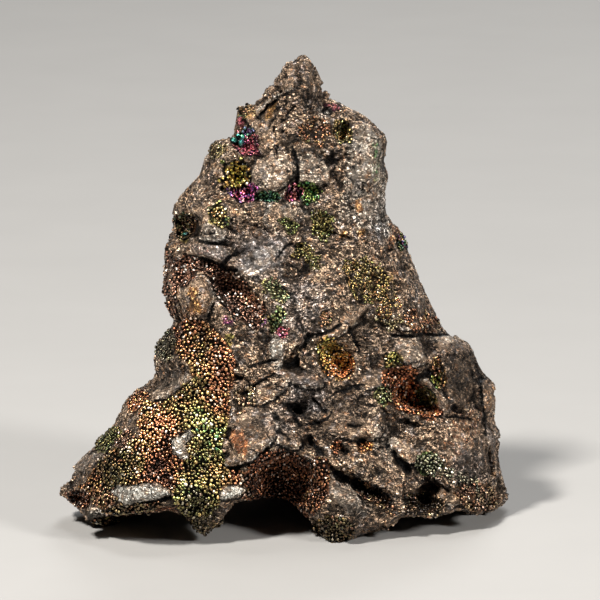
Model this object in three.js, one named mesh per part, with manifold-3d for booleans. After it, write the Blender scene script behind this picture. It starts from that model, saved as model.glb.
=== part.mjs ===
// A turgite specimen: one broken piece of dark iron ore that stands on four feet and tapers to a peak.
// Its front is pitted with hollows, and the crust that lines them grows as small round lumps.
// Millimetres. +Z is up, the weathered front looks along -Y, and the origin is under the middle.
import * as THREE from "three";
import { ImprovedNoise } from "three/addons/math/ImprovedNoise.js";
import { mergeVertices } from "three/addons/utils/BufferGeometryUtils.js";
import Module from "manifold-3d";

// Driving dimensions
const PEAK = 104; // height of the outline's top above its base line
const CELL = 2.72; // size of the faces
const OUTLINE_TILT = THREE.MathUtils.degToRad(12); // the outline is the profile from this far above level
const DEPTH = {
  middleAtCentre: 2, // y of the surface that front and back swell from
  middleSlope: 0.1, // how fast it recedes towards the right
  frontAtBase: 28,
  frontAtPeak: 9,
  backAtBase: 27,
  backAtPeak: 8,
  fullAtBase: 16, // how far in from the outline the rock is at its full depth
  fullAtPeak: 8,
  roundness: 1.9, // exponent of the swell: 1 is a wedge, 2 is a circle
  rightSide: { from: 12, to: 50, share: 0.72 }, // the front is shallower towards the right
};
const RIM = 3.5; // relief fades out over this distance from the outline
const BURIED = -40; // the outline is drawn down to here, and the base is cut from it afterwards
const EXTENT = { across: 58, depth: 42, low: -12, high: 114 }; // everything lies inside these

// Profile from the tip of the left foot over the peak to the tip of the right foot: [across, up]
const OUTLINE = [
  [-51, BURIED], [-51, 6.5], [-47.5, 9.5], [-48, 12], [-41.5, 18], [-38, 22.5], [-34.5, 29],
  [-30.5, 31], [-29, 33], [-29.5, 38.5], [-25.5, 44.5], [-27, 50], [-27, 61], [-25, 66], [-25, 70.5],
  [-19, 77.5], [-16, 85], [-11.5, 86], [-10, 92], [-5.5, 94], [-4, 97], [0, 102], [4, PEAK], [6, 103],
  [8, 99.5], [9.5, 95.5], [13.5, 93], [18.5, 90.5], [23, 86], [22.5, 79.5], [23.5, 77], [23, 68.5],
  [26, 65.5], [29, 58], [33, 49], [36.5, 42], [41.5, 39.5], [44, 34.5], [47.5, 30.5], [47.5, 21.5],
  [49, 19.5], [48.5, 11.5], [51, 4.5], [51, BURIED],
];

// Lower edge of the front, from left to right: [across, up]
const BASE_LINE = [
  [-51, 6.5], [-47, 3], [-44, -1], [-40.5, -2], [-36.5, 0], [-32.5, 1], [-26, 2.5], [-22, 1],
  [-18.5, -3], [-14, 0.2], [-12.5, 5], [-5, 7.2], [2, 5.6], [5.5, 1.2], [9, -4.5], [12, -6],
  [15, -4], [23, -2], [27.5, 1.5], [31.5, 0.5], [39, 2.5], [45, 1], [48, 2], [51, 4.5],
];

// The underside is hollow between the feet, which reach the ground. A spike and a sill hang down short of it.
const UNDERSIDE = 6;
const HANGING = [
  { at: [13, -19], radius: 10, drop: 12 },
  { at: [-38, -2], radius: 9, drop: 12 },
  { at: [42, 9], radius: 9, drop: 12 },
  { at: [8, 22], radius: 11, drop: 12 },
  { at: [-18.5, -19], radius: 5, drop: 5.5 },
  { at: [30, -8], radius: 9, drop: 4 },
];

// Flat faces on the back where the rock broke: the way each looks and how far out it is
const BREAKS = [
  { normal: [0.35, 0.93, 0.1], out: 28 },
  { normal: [-0.48, 0.85, 0.22], out: 29 },
  { normal: [0.1, 0.93, 0.35], out: 34.5 },
];

// Forms on the front and the back: centre, half-sizes, turn in degrees and how far each stands out.
// The ones that go in are hollows, whose walls are steep.
const FRONT_FORMS = [
  { at: [3.5, 97], size: [6, 9], turn: -20, out: 3 }, // wedge of the peak
  { at: [-3.5, 76], size: [4.4, 6], turn: 0, out: 1.8 }, // tongue beside the upper hollows
  { at: [-15.5, 68.5], size: [8, 7], turn: 0, out: 2.5 }, // left shoulder
  { at: [18, 81], size: [6, 10], turn: 0, out: 2 }, // flange under the right shoulder
  { at: [10, 48], size: [9, 13], turn: -20, out: 2.5 }, // central rib
  { at: [-20, 49.5], size: [3.6, 6.5], turn: 0, out: 3 }, // knob in the dark hollow
  { at: [29.5, 36], size: [8, 4.2], turn: -10, out: 2.6 }, // brow over the right hollow
  { at: [-5, 16.5], size: [8.5, 4.5], turn: 35, out: 4.5 }, // lobe over the alcove
  { at: [-28, 7], size: [20, 7], turn: 0, out: 4 }, // lip of the left foot
  { at: [13, 4], size: [12, 13], turn: 0, out: 3 }, // front foot
  { at: [39, 14], size: [13, 12], turn: 0, out: 3 }, // right foot
  { at: [-14, 54], size: [15, 11], turn: -35, out: -2.2 },
  { at: [-11.5, 51.5], size: [10.5, 5], turn: -42, out: -4 },
  { at: [29, 27.5], size: [8.4, 4.4], turn: -28, out: -8 },
  { at: [11.5, 36], size: [5, 4.8], turn: -30, out: -5 },
  { at: [-10, 75], size: [3.4, 4.8], turn: 0, out: -4.5 },
  { at: [-8.5, 83], size: [2.9, 3.6], turn: -30, out: -3.5 },
  { at: [-22, 66], size: [3.4, 4], turn: 0, out: -3.5 },
  { at: [6, 74], size: [4.6, 2.8], turn: 15, out: -3.2 },
  { at: [-0.5, 8], size: [8.5, 7.5], turn: 0, out: -15 },
  { at: [31, 5.5], size: [7, 3.2], turn: 0, out: -4.5 },
  { at: [15.5, 8], size: [7.5, 2.4], turn: -36, out: -6 },
  { at: [18, 17.5], size: [2.8, 2.4], turn: -40, out: -3.5 },
  { at: [12.5, 16], size: [2.6, 2.4], turn: -40, out: -3.5 },
  { at: [20.5, 52], size: [6.5, 4.5], turn: -30, out: -2 },
  { at: [3, 25], size: [3, 2.6], turn: 0, out: -3.5 },
  { at: [-3.5, 43], size: [2.6, 4], turn: 0, out: -3 },
  { at: [-45, 5], size: [3.2, 2.8], turn: 0, out: -4 },
  { at: [13, 86.5], size: [3, 2.8], turn: 0, out: -2.5 },
];
const BACK_FORMS = [
  { at: [3, 60], size: [12, 24], turn: -10, out: 3 },
  { at: [-28, 12], size: [15, 11], turn: 25, out: 3.5 },
  { at: [34, 15], size: [12, 15], turn: 10, out: 3 },
  { at: [4, 10], size: [13, 10], turn: 0, out: 4 },
  { at: [-9, 40], size: [8, 6], turn: 30, out: -5 },
  { at: [19, 46], size: [7, 9], turn: -20, out: -4.5 },
  { at: [9, 25], size: [6, 4.5], turn: 0, out: -5 },
  { at: [-14, 68], size: [5, 6], turn: -15, out: -3.5 },
  { at: [10, 80], size: [4.5, 6], turn: 20, out: -3 },
  { at: [-25, 24], size: [5.5, 4], turn: 40, out: -4 },
  { at: [33, 30], size: [5, 4], turn: -35, out: -4 },
];

// Crust: patches of small round lumps, in hollows and on the left foot
const LUMP = { size: 3.4, height: 0.9 };
const CRUST_FADE = { from: 0.9, to: 1.3 }; // the crust thins out between these ovals
const CRUST = [
  { at: [-24, 20], size: [17, 17], turn: 45 },
  { at: [-0.5, 8], size: [10, 9], turn: 0 },
  { at: [29, 27.5], size: [8, 5], turn: -28 },
  { at: [11.5, 36], size: [5, 5], turn: 0 },
  { at: [-12, 52], size: [11, 6], turn: -42 },
  { at: [-9.5, 78], size: [4, 8], turn: 0 },
  { at: [21, 52], size: [8, 6], turn: -30 },
];

// Weathering, over the whole surface: broken flakes with steps between them, and crags
const GRAIN = new THREE.Matrix4().makeRotationFromEuler(new THREE.Euler(0.55, 0.4, 0.65)); // of the flakes
const FLAKES = { size: 9, depth: 2.6, middle: 0.5, spread: 0.35, tilt: 1.3 };
const CRAGS = { size: 11, depth: 1.8, octaves: 3 };
const WORN = 1.6; // what weathering takes off on the whole, by which the surface is raised first
const SHAKE = 0.4; // how far a flake or lump lies from the middle of its cell
const UNDER_CRUST = 0.4; // share of the weathering that shows through crust
const AT_RIM = 0.35; // share of the weathering that is left at the outline
const HEAVE = { size: 36, front: 2.5, back: 5 }; // slow rise and fall of the front and back

// Working values of the surface finder
const SLOPE_STEP = 0.05; // for measuring how steep a field is
const BAND = 3 * CELL; // the field is only exact this close to the surface
const PULLS = { count: 8, strength: 0.6, reach: 0.35 * CELL }; // how a corner settles between tangent planes
const HALVINGS = 5;

const perlin = new ImprovedNoise();
const { clamp, lerp, smoothstep, degToRad } = THREE.MathUtils;

// Distance in from the outline, negative outside it
function inset(across, up) {
  let nearest = Infinity;
  let inside = false;
  for (let i = 0; i < OUTLINE.length; i++) {
    const [ax, ay] = OUTLINE[i];
    const [bx, by] = OUTLINE[(i + 1) % OUTLINE.length];
    const along = (across - ax) * (bx - ax) + (up - ay) * (by - ay);
    const t = clamp(along / ((bx - ax) ** 2 + (by - ay) ** 2), 0, 1);
    nearest = Math.min(nearest, Math.hypot(across - lerp(ax, bx, t), up - lerp(ay, by, t)));
    if (ay > up !== by > up && across < ax + ((up - ay) / (by - ay)) * (bx - ax)) inside = !inside;
  }
  return inside ? nearest : -nearest;
}

function baseLine(across) {
  const last = BASE_LINE.length - 1;
  const i = BASE_LINE.findIndex(([x]) => x > across);
  if (i === 0) return BASE_LINE[0][1];
  if (i < 0) return BASE_LINE[last][1];
  const [[ax, ay], [bx, by]] = [BASE_LINE[i - 1], BASE_LINE[i]];
  return lerp(ay, by, (across - ax) / (bx - ax));
}

// Squared distance from an oval's centre: 1 on its edge
function ovalSquared({ at, size, turn }, across, up) {
  const [c, s] = [Math.cos(degToRad(turn)), Math.sin(degToRad(turn))];
  const [dx, dy] = [across - at[0], up - at[1]];
  return ((dx * c + dy * s) / size[0]) ** 2 + ((dy * c - dx * s) / size[1]) ** 2;
}

// A bulge is a dome that fades out, and a hollow is a bowl with a sharp rim
function relief(forms, across, up) {
  return forms.reduce((sum, form) => {
    const q = ovalSquared(form, across, up);
    if (q >= 1) return sum;
    return sum + form.out * (form.out > 0 ? (1 - q) ** 2 : 1 - q);
  }, 0);
}

function underside(x, y) {
  const drops = HANGING.map(({ at, radius, drop }) =>
    drop * Math.exp(-((x - at[0]) ** 2 + (y - at[1]) ** 2) / radius ** 2));
  return UNDERSIDE - Math.max(...drops);
}

// Height in the outline's own plane
function upOf(y, z) {
  return z * Math.cos(OUTLINE_TILT) + y * Math.sin(OUTLINE_TILT);
}

// The rock before it weathers: negative inside. Not a true distance.
function mass(x, y, z) {
  const up = upOf(y, z);
  const edge = inset(x, up);
  const height = clamp(up / PEAK, 0, 1);
  const share = clamp(edge / lerp(DEPTH.fullAtBase, DEPTH.fullAtPeak, height), 0, 1);
  const swell = (1 - (1 - share) ** DEPTH.roundness) ** (1 / DEPTH.roundness);
  const fade = smoothstep(edge, 0, RIM);
  const middle = DEPTH.middleAtCentre + DEPTH.middleSlope * x;
  const { from, to, share: rightShare } = DEPTH.rightSide;
  const shallow = lerp(1, rightShare, smoothstep(x, from, to));
  const frontDepth = lerp(DEPTH.frontAtBase, DEPTH.frontAtPeak, height) * shallow;
  const backDepth = lerp(DEPTH.backAtBase, DEPTH.backAtPeak, height);
  const heave = perlin.noise(x / HEAVE.size, y / HEAVE.size, z / HEAVE.size);
  const front = middle - swell * frontDepth - fade * (relief(FRONT_FORMS, x, up) + HEAVE.front * heave);
  const back = middle + swell * backDepth + fade * (relief(BACK_FORMS, x, up) + HEAVE.back * heave);
  const broken = BREAKS.map(({ normal: [nx, ny, nz], out }) => x * nx + y * ny + z * nz - out);
  return Math.max(-edge, front - y, y - back, baseLine(x) - up, underside(x, y) - z, ...broken);
}

// A number from -1 to 1 that is always the same for a place on the grid and a turn
const MIX = [127.1, 311.7, 74.7, 53.3];
const SCRAMBLE = 43758.5453;
function chance(...place) {
  const wild = SCRAMBLE * Math.sin(place.reduce((sum, c, i) => sum + c * MIX[i], 0));
  return 2 * (wild - Math.floor(wild)) - 1;
}

// The nearest point of a shaken grid, as [its cell, the way to it in cells]
function nearestSeed(x, y, z, size) {
  const spot = [x / size, y / size, z / size];
  let nearest = [null, [Infinity, 0, 0]];
  for (let i = 0; i < 27; i++) {
    const cell = spot.map((c, axis) => Math.round(c) + (Math.floor(i / 3 ** axis) % 3) - 1);
    const away = cell.map((c, axis) => spot[axis] - c - SHAKE * chance(...cell, axis));
    if (Math.hypot(...away) < Math.hypot(...nearest[1])) nearest = [cell, away];
  }
  return nearest;
}

// How much weathering has taken off. Each flake's face has a tilt and a depth of its own.
function weathered(x, y, z) {
  let taken = 0;
  for (let octave = 0; octave < CRAGS.octaves; octave++) {
    const scale = 2 ** octave / CRAGS.size;
    taken += (CRAGS.depth / 2 ** octave) * Math.abs(perlin.noise(x * scale, y * scale, z * scale + octave));
  }
  const [cell, away] = nearestSeed(x, y, z, FLAKES.size);
  const face = away.reduce((sum, c, axis) => sum + c * FLAKES.tilt * chance(...cell, axis + 3), 0);
  return taken + FLAKES.depth * clamp(FLAKES.middle + FLAKES.spread * chance(...cell, 6) + face, 0, 1);
}

// Round lumps about as far apart as LUMP.size
function lumps(x, y, z) {
  const [, away] = nearestSeed(x, y, z, LUMP.size);
  return LUMP.height * Math.sqrt(Math.max(0, 1 - away.reduce((sum, c) => sum + c * c, 0)));
}

// The weathered rock, at a point given along the grain
function rock(a, b, c) {
  const [x, y, z] = new THREE.Vector3(a, b, c).applyMatrix4(GRAIN).toArray();
  const here = mass(x, y, z);
  if (here > BAND) return here;
  const slope = Math.hypot(
    mass(x + SLOPE_STEP, y, z) - here,
    mass(x, y + SLOPE_STEP, z) - here,
    mass(x, y, z + SLOPE_STEP) - here,
  ) / SLOPE_STEP;
  const distance = here / Math.max(slope, 1);
  if (distance < -BAND) return distance;
  const patch = Math.min(...CRUST.map((oval) => ovalSquared(oval, x, upOf(y, z))));
  const crusted = y < DEPTH.middleAtCentre ? 1 - smoothstep(patch, CRUST_FADE.from, CRUST_FADE.to) : 0;
  const shown = lerp(1, UNDER_CRUST, crusted) * lerp(AT_RIM, 1, smoothstep(inset(x, upOf(y, z)), 0, RIM));
  return distance + (weathered(a, b, c) - WORN) * shown - lumps(a, b, c) * crusted;
}

// Where the surface's tangent planes at these points of a cell meet, so that edges stay sharp
function corner(field, points) {
  const mean = [0, 1, 2].map((axis) => points.reduce((sum, p) => sum + p[axis], 0) / points.length);
  const normals = points.map(([x, y, z]) => {
    const here = field(x, y, z);
    const slope = [field(x + SLOPE_STEP, y, z), field(x, y + SLOPE_STEP, z), field(x, y, z + SLOPE_STEP)];
    const across = slope.map((value) => value - here);
    return across.map((c) => c / (Math.hypot(...across) || 1));
  });
  const at = [...mean];
  for (let pull = 0; pull < PULLS.count; pull++)
    points.forEach((p, i) => {
      const off = p.reduce((sum, c, axis) => sum + (c - at[axis]) * normals[i][axis], 0);
      at.forEach((_, axis) => (at[axis] += (PULLS.strength * off * normals[i][axis]) / points.length));
    });
  return at.map((c, axis) => clamp(c, mean[axis] - PULLS.reach, mean[axis] + PULLS.reach));
}

// The closed surface where a field is zero: one point in each cell that it passes through,
// and one quad across each edge of the grid that it cuts.
function isosurface(field, { min: low, max: high }, cell) {
  const count = high.clone().sub(low).divideScalar(cell).ceil().addScalar(1);
  const [nx, ny, nz] = [count.x, count.y, count.z];
  const index = (i, j, k) => i + nx * (j + ny * k);
  const place = (i, axis) => low.getComponent(axis) + i * cell;
  const value = new Float64Array(nx * ny * nz);
  for (let k = 0; k < nz; k++)
    for (let j = 0; j < ny; j++)
      for (let i = 0; i < nx; i++) value[index(i, j, k)] = field(place(i, 0), place(j, 1), place(k, 2));

  // Where opposite corners of a square agree and its neighbours don't, the surface would touch itself
  const step = [1, nx, nx * ny];
  for (let changed = true; changed; ) {
    changed = false;
    for (let at = 0; at < value.length; at++)
      for (const [a, b] of [[0, 1], [1, 2], [0, 2]]) {
        const square = [at, at + step[a], at + step[b], at + step[a] + step[b]];
        if (square[3] >= value.length) continue;
        const [p, q, r, s] = square.map((c) => value[c] < 0);
        if (p !== s || q !== r || p === q) continue;
        value[p ? square[1] : square[0]] = -SLOPE_STEP;
        changed = true;
      }
  }

  const positions = [];
  const pointOf = new Map();
  const corners = [...Array(8).keys()].map((c) => [c & 1, (c >> 1) & 1, c >> 2]);
  const edges = corners.flatMap((a, i) => corners.slice(i + 1).map((b) => [a, b]))
    .filter(([a, b]) => a.reduce((sum, c, axis) => sum + Math.abs(c - b[axis]), 0) === 1);
  const crossing = (a, b) => {
    let [inside, outside] = field(...a) < 0 ? [a, b] : [b, a];
    for (let halving = 0; halving < HALVINGS; halving++) {
      const middle = inside.map((c, axis) => (c + outside[axis]) / 2);
      if (field(...middle) < 0) inside = middle;
      else outside = middle;
    }
    return inside.map((c, axis) => (c + outside[axis]) / 2);
  };
  const point = (i, j, k) => {
    const key = index(i, j, k);
    if (!pointOf.has(key)) {
      const cut = edges.filter(([a, b]) =>
        value[index(i + a[0], j + a[1], k + a[2])] < 0 !== value[index(i + b[0], j + b[1], k + b[2])] < 0);
      const found = cut.map(([a, b]) => crossing(
        [place(i + a[0], 0), place(j + a[1], 1), place(k + a[2], 2)],
        [place(i + b[0], 0), place(j + b[1], 1), place(k + b[2], 2)]));
      pointOf.set(key, positions.length / 3);
      positions.push(...corner(field, found));
    }
    return pointOf.get(key);
  };

  const faces = [];
  for (let k = 1; k < nz - 1; k++)
    for (let j = 1; j < ny - 1; j++)
      for (let i = 1; i < nx - 1; i++)
        for (let axis = 0; axis < 3; axis++) {
          const here = value[index(i, j, k)] < 0;
          if (here === value[index(i, j, k) + step[axis]] < 0) continue;
          const [b, c] = [(axis + 1) % 3, (axis + 2) % 3];
          const around = [[0, 0], [1, 0], [1, 1], [0, 1]].map(([db, dc]) => {
            const at = [i, j, k];
            at[b] -= db;
            at[c] -= dc;
            return point(...at);
          });
          const [p, q, r, s] = here ? around : around.reverse();
          faces.push(p, q, r, p, r, s);
        }
  const geometry = new THREE.BufferGeometry();
  geometry.setAttribute("position", new THREE.Float32BufferAttribute(positions, 3));
  geometry.setIndex(faces);
  return geometry;
}

const wasm = await Module();
wasm.setup();

function solidOf(geometry) {
  const vertProperties = new Float32Array(geometry.getAttribute("position").array);
  const triVerts = new Uint32Array(geometry.index.array);
  return new wasm.Manifold(new wasm.Mesh({ numProp: 3, vertProperties, triVerts }));
}

function geometryOf(solid) {
  const { vertProperties, triVerts } = solid.getMesh();
  const geometry = new THREE.BufferGeometry();
  geometry.setAttribute("position", new THREE.BufferAttribute(vertProperties, 3));
  geometry.setIndex(new THREE.BufferAttribute(triVerts, 1));
  return geometry;
}

// A block from the ground down
function ground() {
  const block = new THREE.BoxGeometry(4 * EXTENT.across, 4 * EXTENT.depth, -2 * EXTENT.low);
  block.translate(0, 0, EXTENT.low);
  block.deleteAttribute("normal");
  block.deleteAttribute("uv");
  return solidOf(mergeVertices(block));
}

function specimen() {
  const extent = new THREE.Box3(
    new THREE.Vector3(-EXTENT.across, -EXTENT.depth, EXTENT.low),
    new THREE.Vector3(EXTENT.across, EXTENT.depth, EXTENT.high),
  );
  const surface = isosurface(rock, extent.applyMatrix4(GRAIN.clone().invert()), CELL);
  surface.applyMatrix4(GRAIN);
  const standing = solidOf(surface).subtract(ground());
  const [whole] = standing.decompose().sort((a, b) => b.volume() - a.volume());
  const geometry = geometryOf(whole);
  geometry.computeBoundingBox();
  const centre = geometry.boundingBox.getCenter(new THREE.Vector3());
  geometry.translate(-centre.x, -centre.y, 0);
  geometry.computeVertexNormals();
  const ore = new THREE.MeshStandardMaterial({ color: 0x6b5f57, roughness: 0.5, metalness: 0.45 });
  ore.flatShading = true;
  const mesh = new THREE.Mesh(geometry, ore);
  mesh.name = "specimen";
  return mesh;
}

const root = new THREE.Group();
root.add(specimen());
export default root;
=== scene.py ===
"""A turgite specimen: a ragged brown rock with an iridescent crust of fine beads.

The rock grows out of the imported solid. It is remeshed and rounded, takes the small forms of its
front, and is broken up into flakes and grains. The crust is thousands of small beads that sit in
the rock's hollows and over its left foot. Lengths are in millimetres until a mesh is written.

The front is laid out as the camera sees it, in two measures: `across`, which is X, and `up`, the
height in a plane that leans back by TILT. Turns are in degrees, anticlockwise.
"""

import copy
import itertools
import math
from typing import NamedTuple

import bmesh
import bpy
import numpy as np
from mathutils import Matrix, Vector
from mathutils.kdtree import KDTree


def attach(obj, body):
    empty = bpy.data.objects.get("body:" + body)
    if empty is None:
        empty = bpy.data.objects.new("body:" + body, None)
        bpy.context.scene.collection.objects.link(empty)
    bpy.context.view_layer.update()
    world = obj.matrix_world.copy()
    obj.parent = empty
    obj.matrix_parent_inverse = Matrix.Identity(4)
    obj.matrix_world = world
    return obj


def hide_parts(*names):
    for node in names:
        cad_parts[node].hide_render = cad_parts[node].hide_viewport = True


MM = 0.001
TILT = math.radians(12)
SIGHT = np.array((0.0, -math.cos(TILT), math.sin(TILT)))
UPWARD = np.array((0.0, math.sin(TILT), math.cos(TILT)))

# The rock's mesh: the cells it is made of before and after its small forms are added, how many
# times it is evened out, the most triangles it may have, and how sharp an edge isn't smoothed.
FIRST_CELL = 0.55
LAST_CELL = 0.42
ROUNDING = 14
MOST_TRIANGLES = 196_000
SHARP_EDGE = math.radians(42)
# Directions shorter than this count as this long, so that nothing is divided by 0.
TINY = 1e-9

# The outline of the front, clockwise from the peak.
RIM = [
    (4, 104), (6, 103), (8, 99.5), (9.5, 95.5), (13.5, 93), (18.5, 90.5), (21, 88), (23, 86),
    (22.5, 80), (23.5, 77), (22.5, 74), (23, 68.5), (26, 65.5), (27, 63), (29, 58), (31, 53),
    (33, 49), (35, 44.5), (37, 42), (39.5, 41), (42, 39.5), (44, 34.5), (45.5, 32.5), (47.5, 30.5),
    (48, 26.5), (47.5, 21.5), (49, 19.5), (48.5, 15), (49, 11), (51, 4.5), (49, 2.5), (45, 1),
    (42, 1), (39, 2.5), (37, 1.5), (31.5, 0.5), (27.5, 1.5), (25.5, 0), (23, -2), (19, -2.5),
    (15, -4), (12, -5.5), (9.5, -5), (7.5, -3), (5.5, 0.5), (2, 4), (-2, 5), (-6.5, 5.5), (-10, 4),
    (-13.5, 2), (-14, -0.5), (-16.5, -2), (-18.5, -3), (-20.5, -1), (-22, 1), (-26, 2.5), (-29, 2),
    (-32.5, 1), (-36.5, 0), (-38, -1.5), (-40.5, -2), (-43.5, -1.5), (-44.5, 1), (-48.5, 4),
    (-51, 6.5), (-47.5, 9.5), (-48, 12), (-45, 14.5), (-43.5, 16), (-41.5, 18.5), (-38.5, 21.5),
    (-37.5, 24), (-34.5, 29), (-32, 29.5), (-30.5, 31.5), (-29, 32.5), (-29.5, 35.5), (-29, 39),
    (-27, 41.5), (-25, 44.5), (-26, 47.5), (-27, 50), (-27, 56.5), (-27, 61), (-25, 66), (-25, 70.5),
    (-22, 74.5), (-19, 77.5), (-18, 81), (-16, 85), (-13.5, 85.5), (-11.5, 86.5), (-11, 89.5),
    (-10, 92.5), (-5.5, 94), (-4.5, 96.5), (-2.5, 98), (-1, 100.5), (1, 103), (2.5, 103),
]
# The fit to the rim: how far apart it is sampled, how far in it reaches, how far it moves a point
# at most, and how many samples to each side it is evened over.
RIM_STEP = 0.8
RIM_FALLOFF = 6.0
RIM_LIMIT = 2.2
RIM_EVENING = 2

# How many points an oval has, and how far round a shape its distance is measured.
OVAL_POINTS = 16
NEARBY = 3.0

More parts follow.
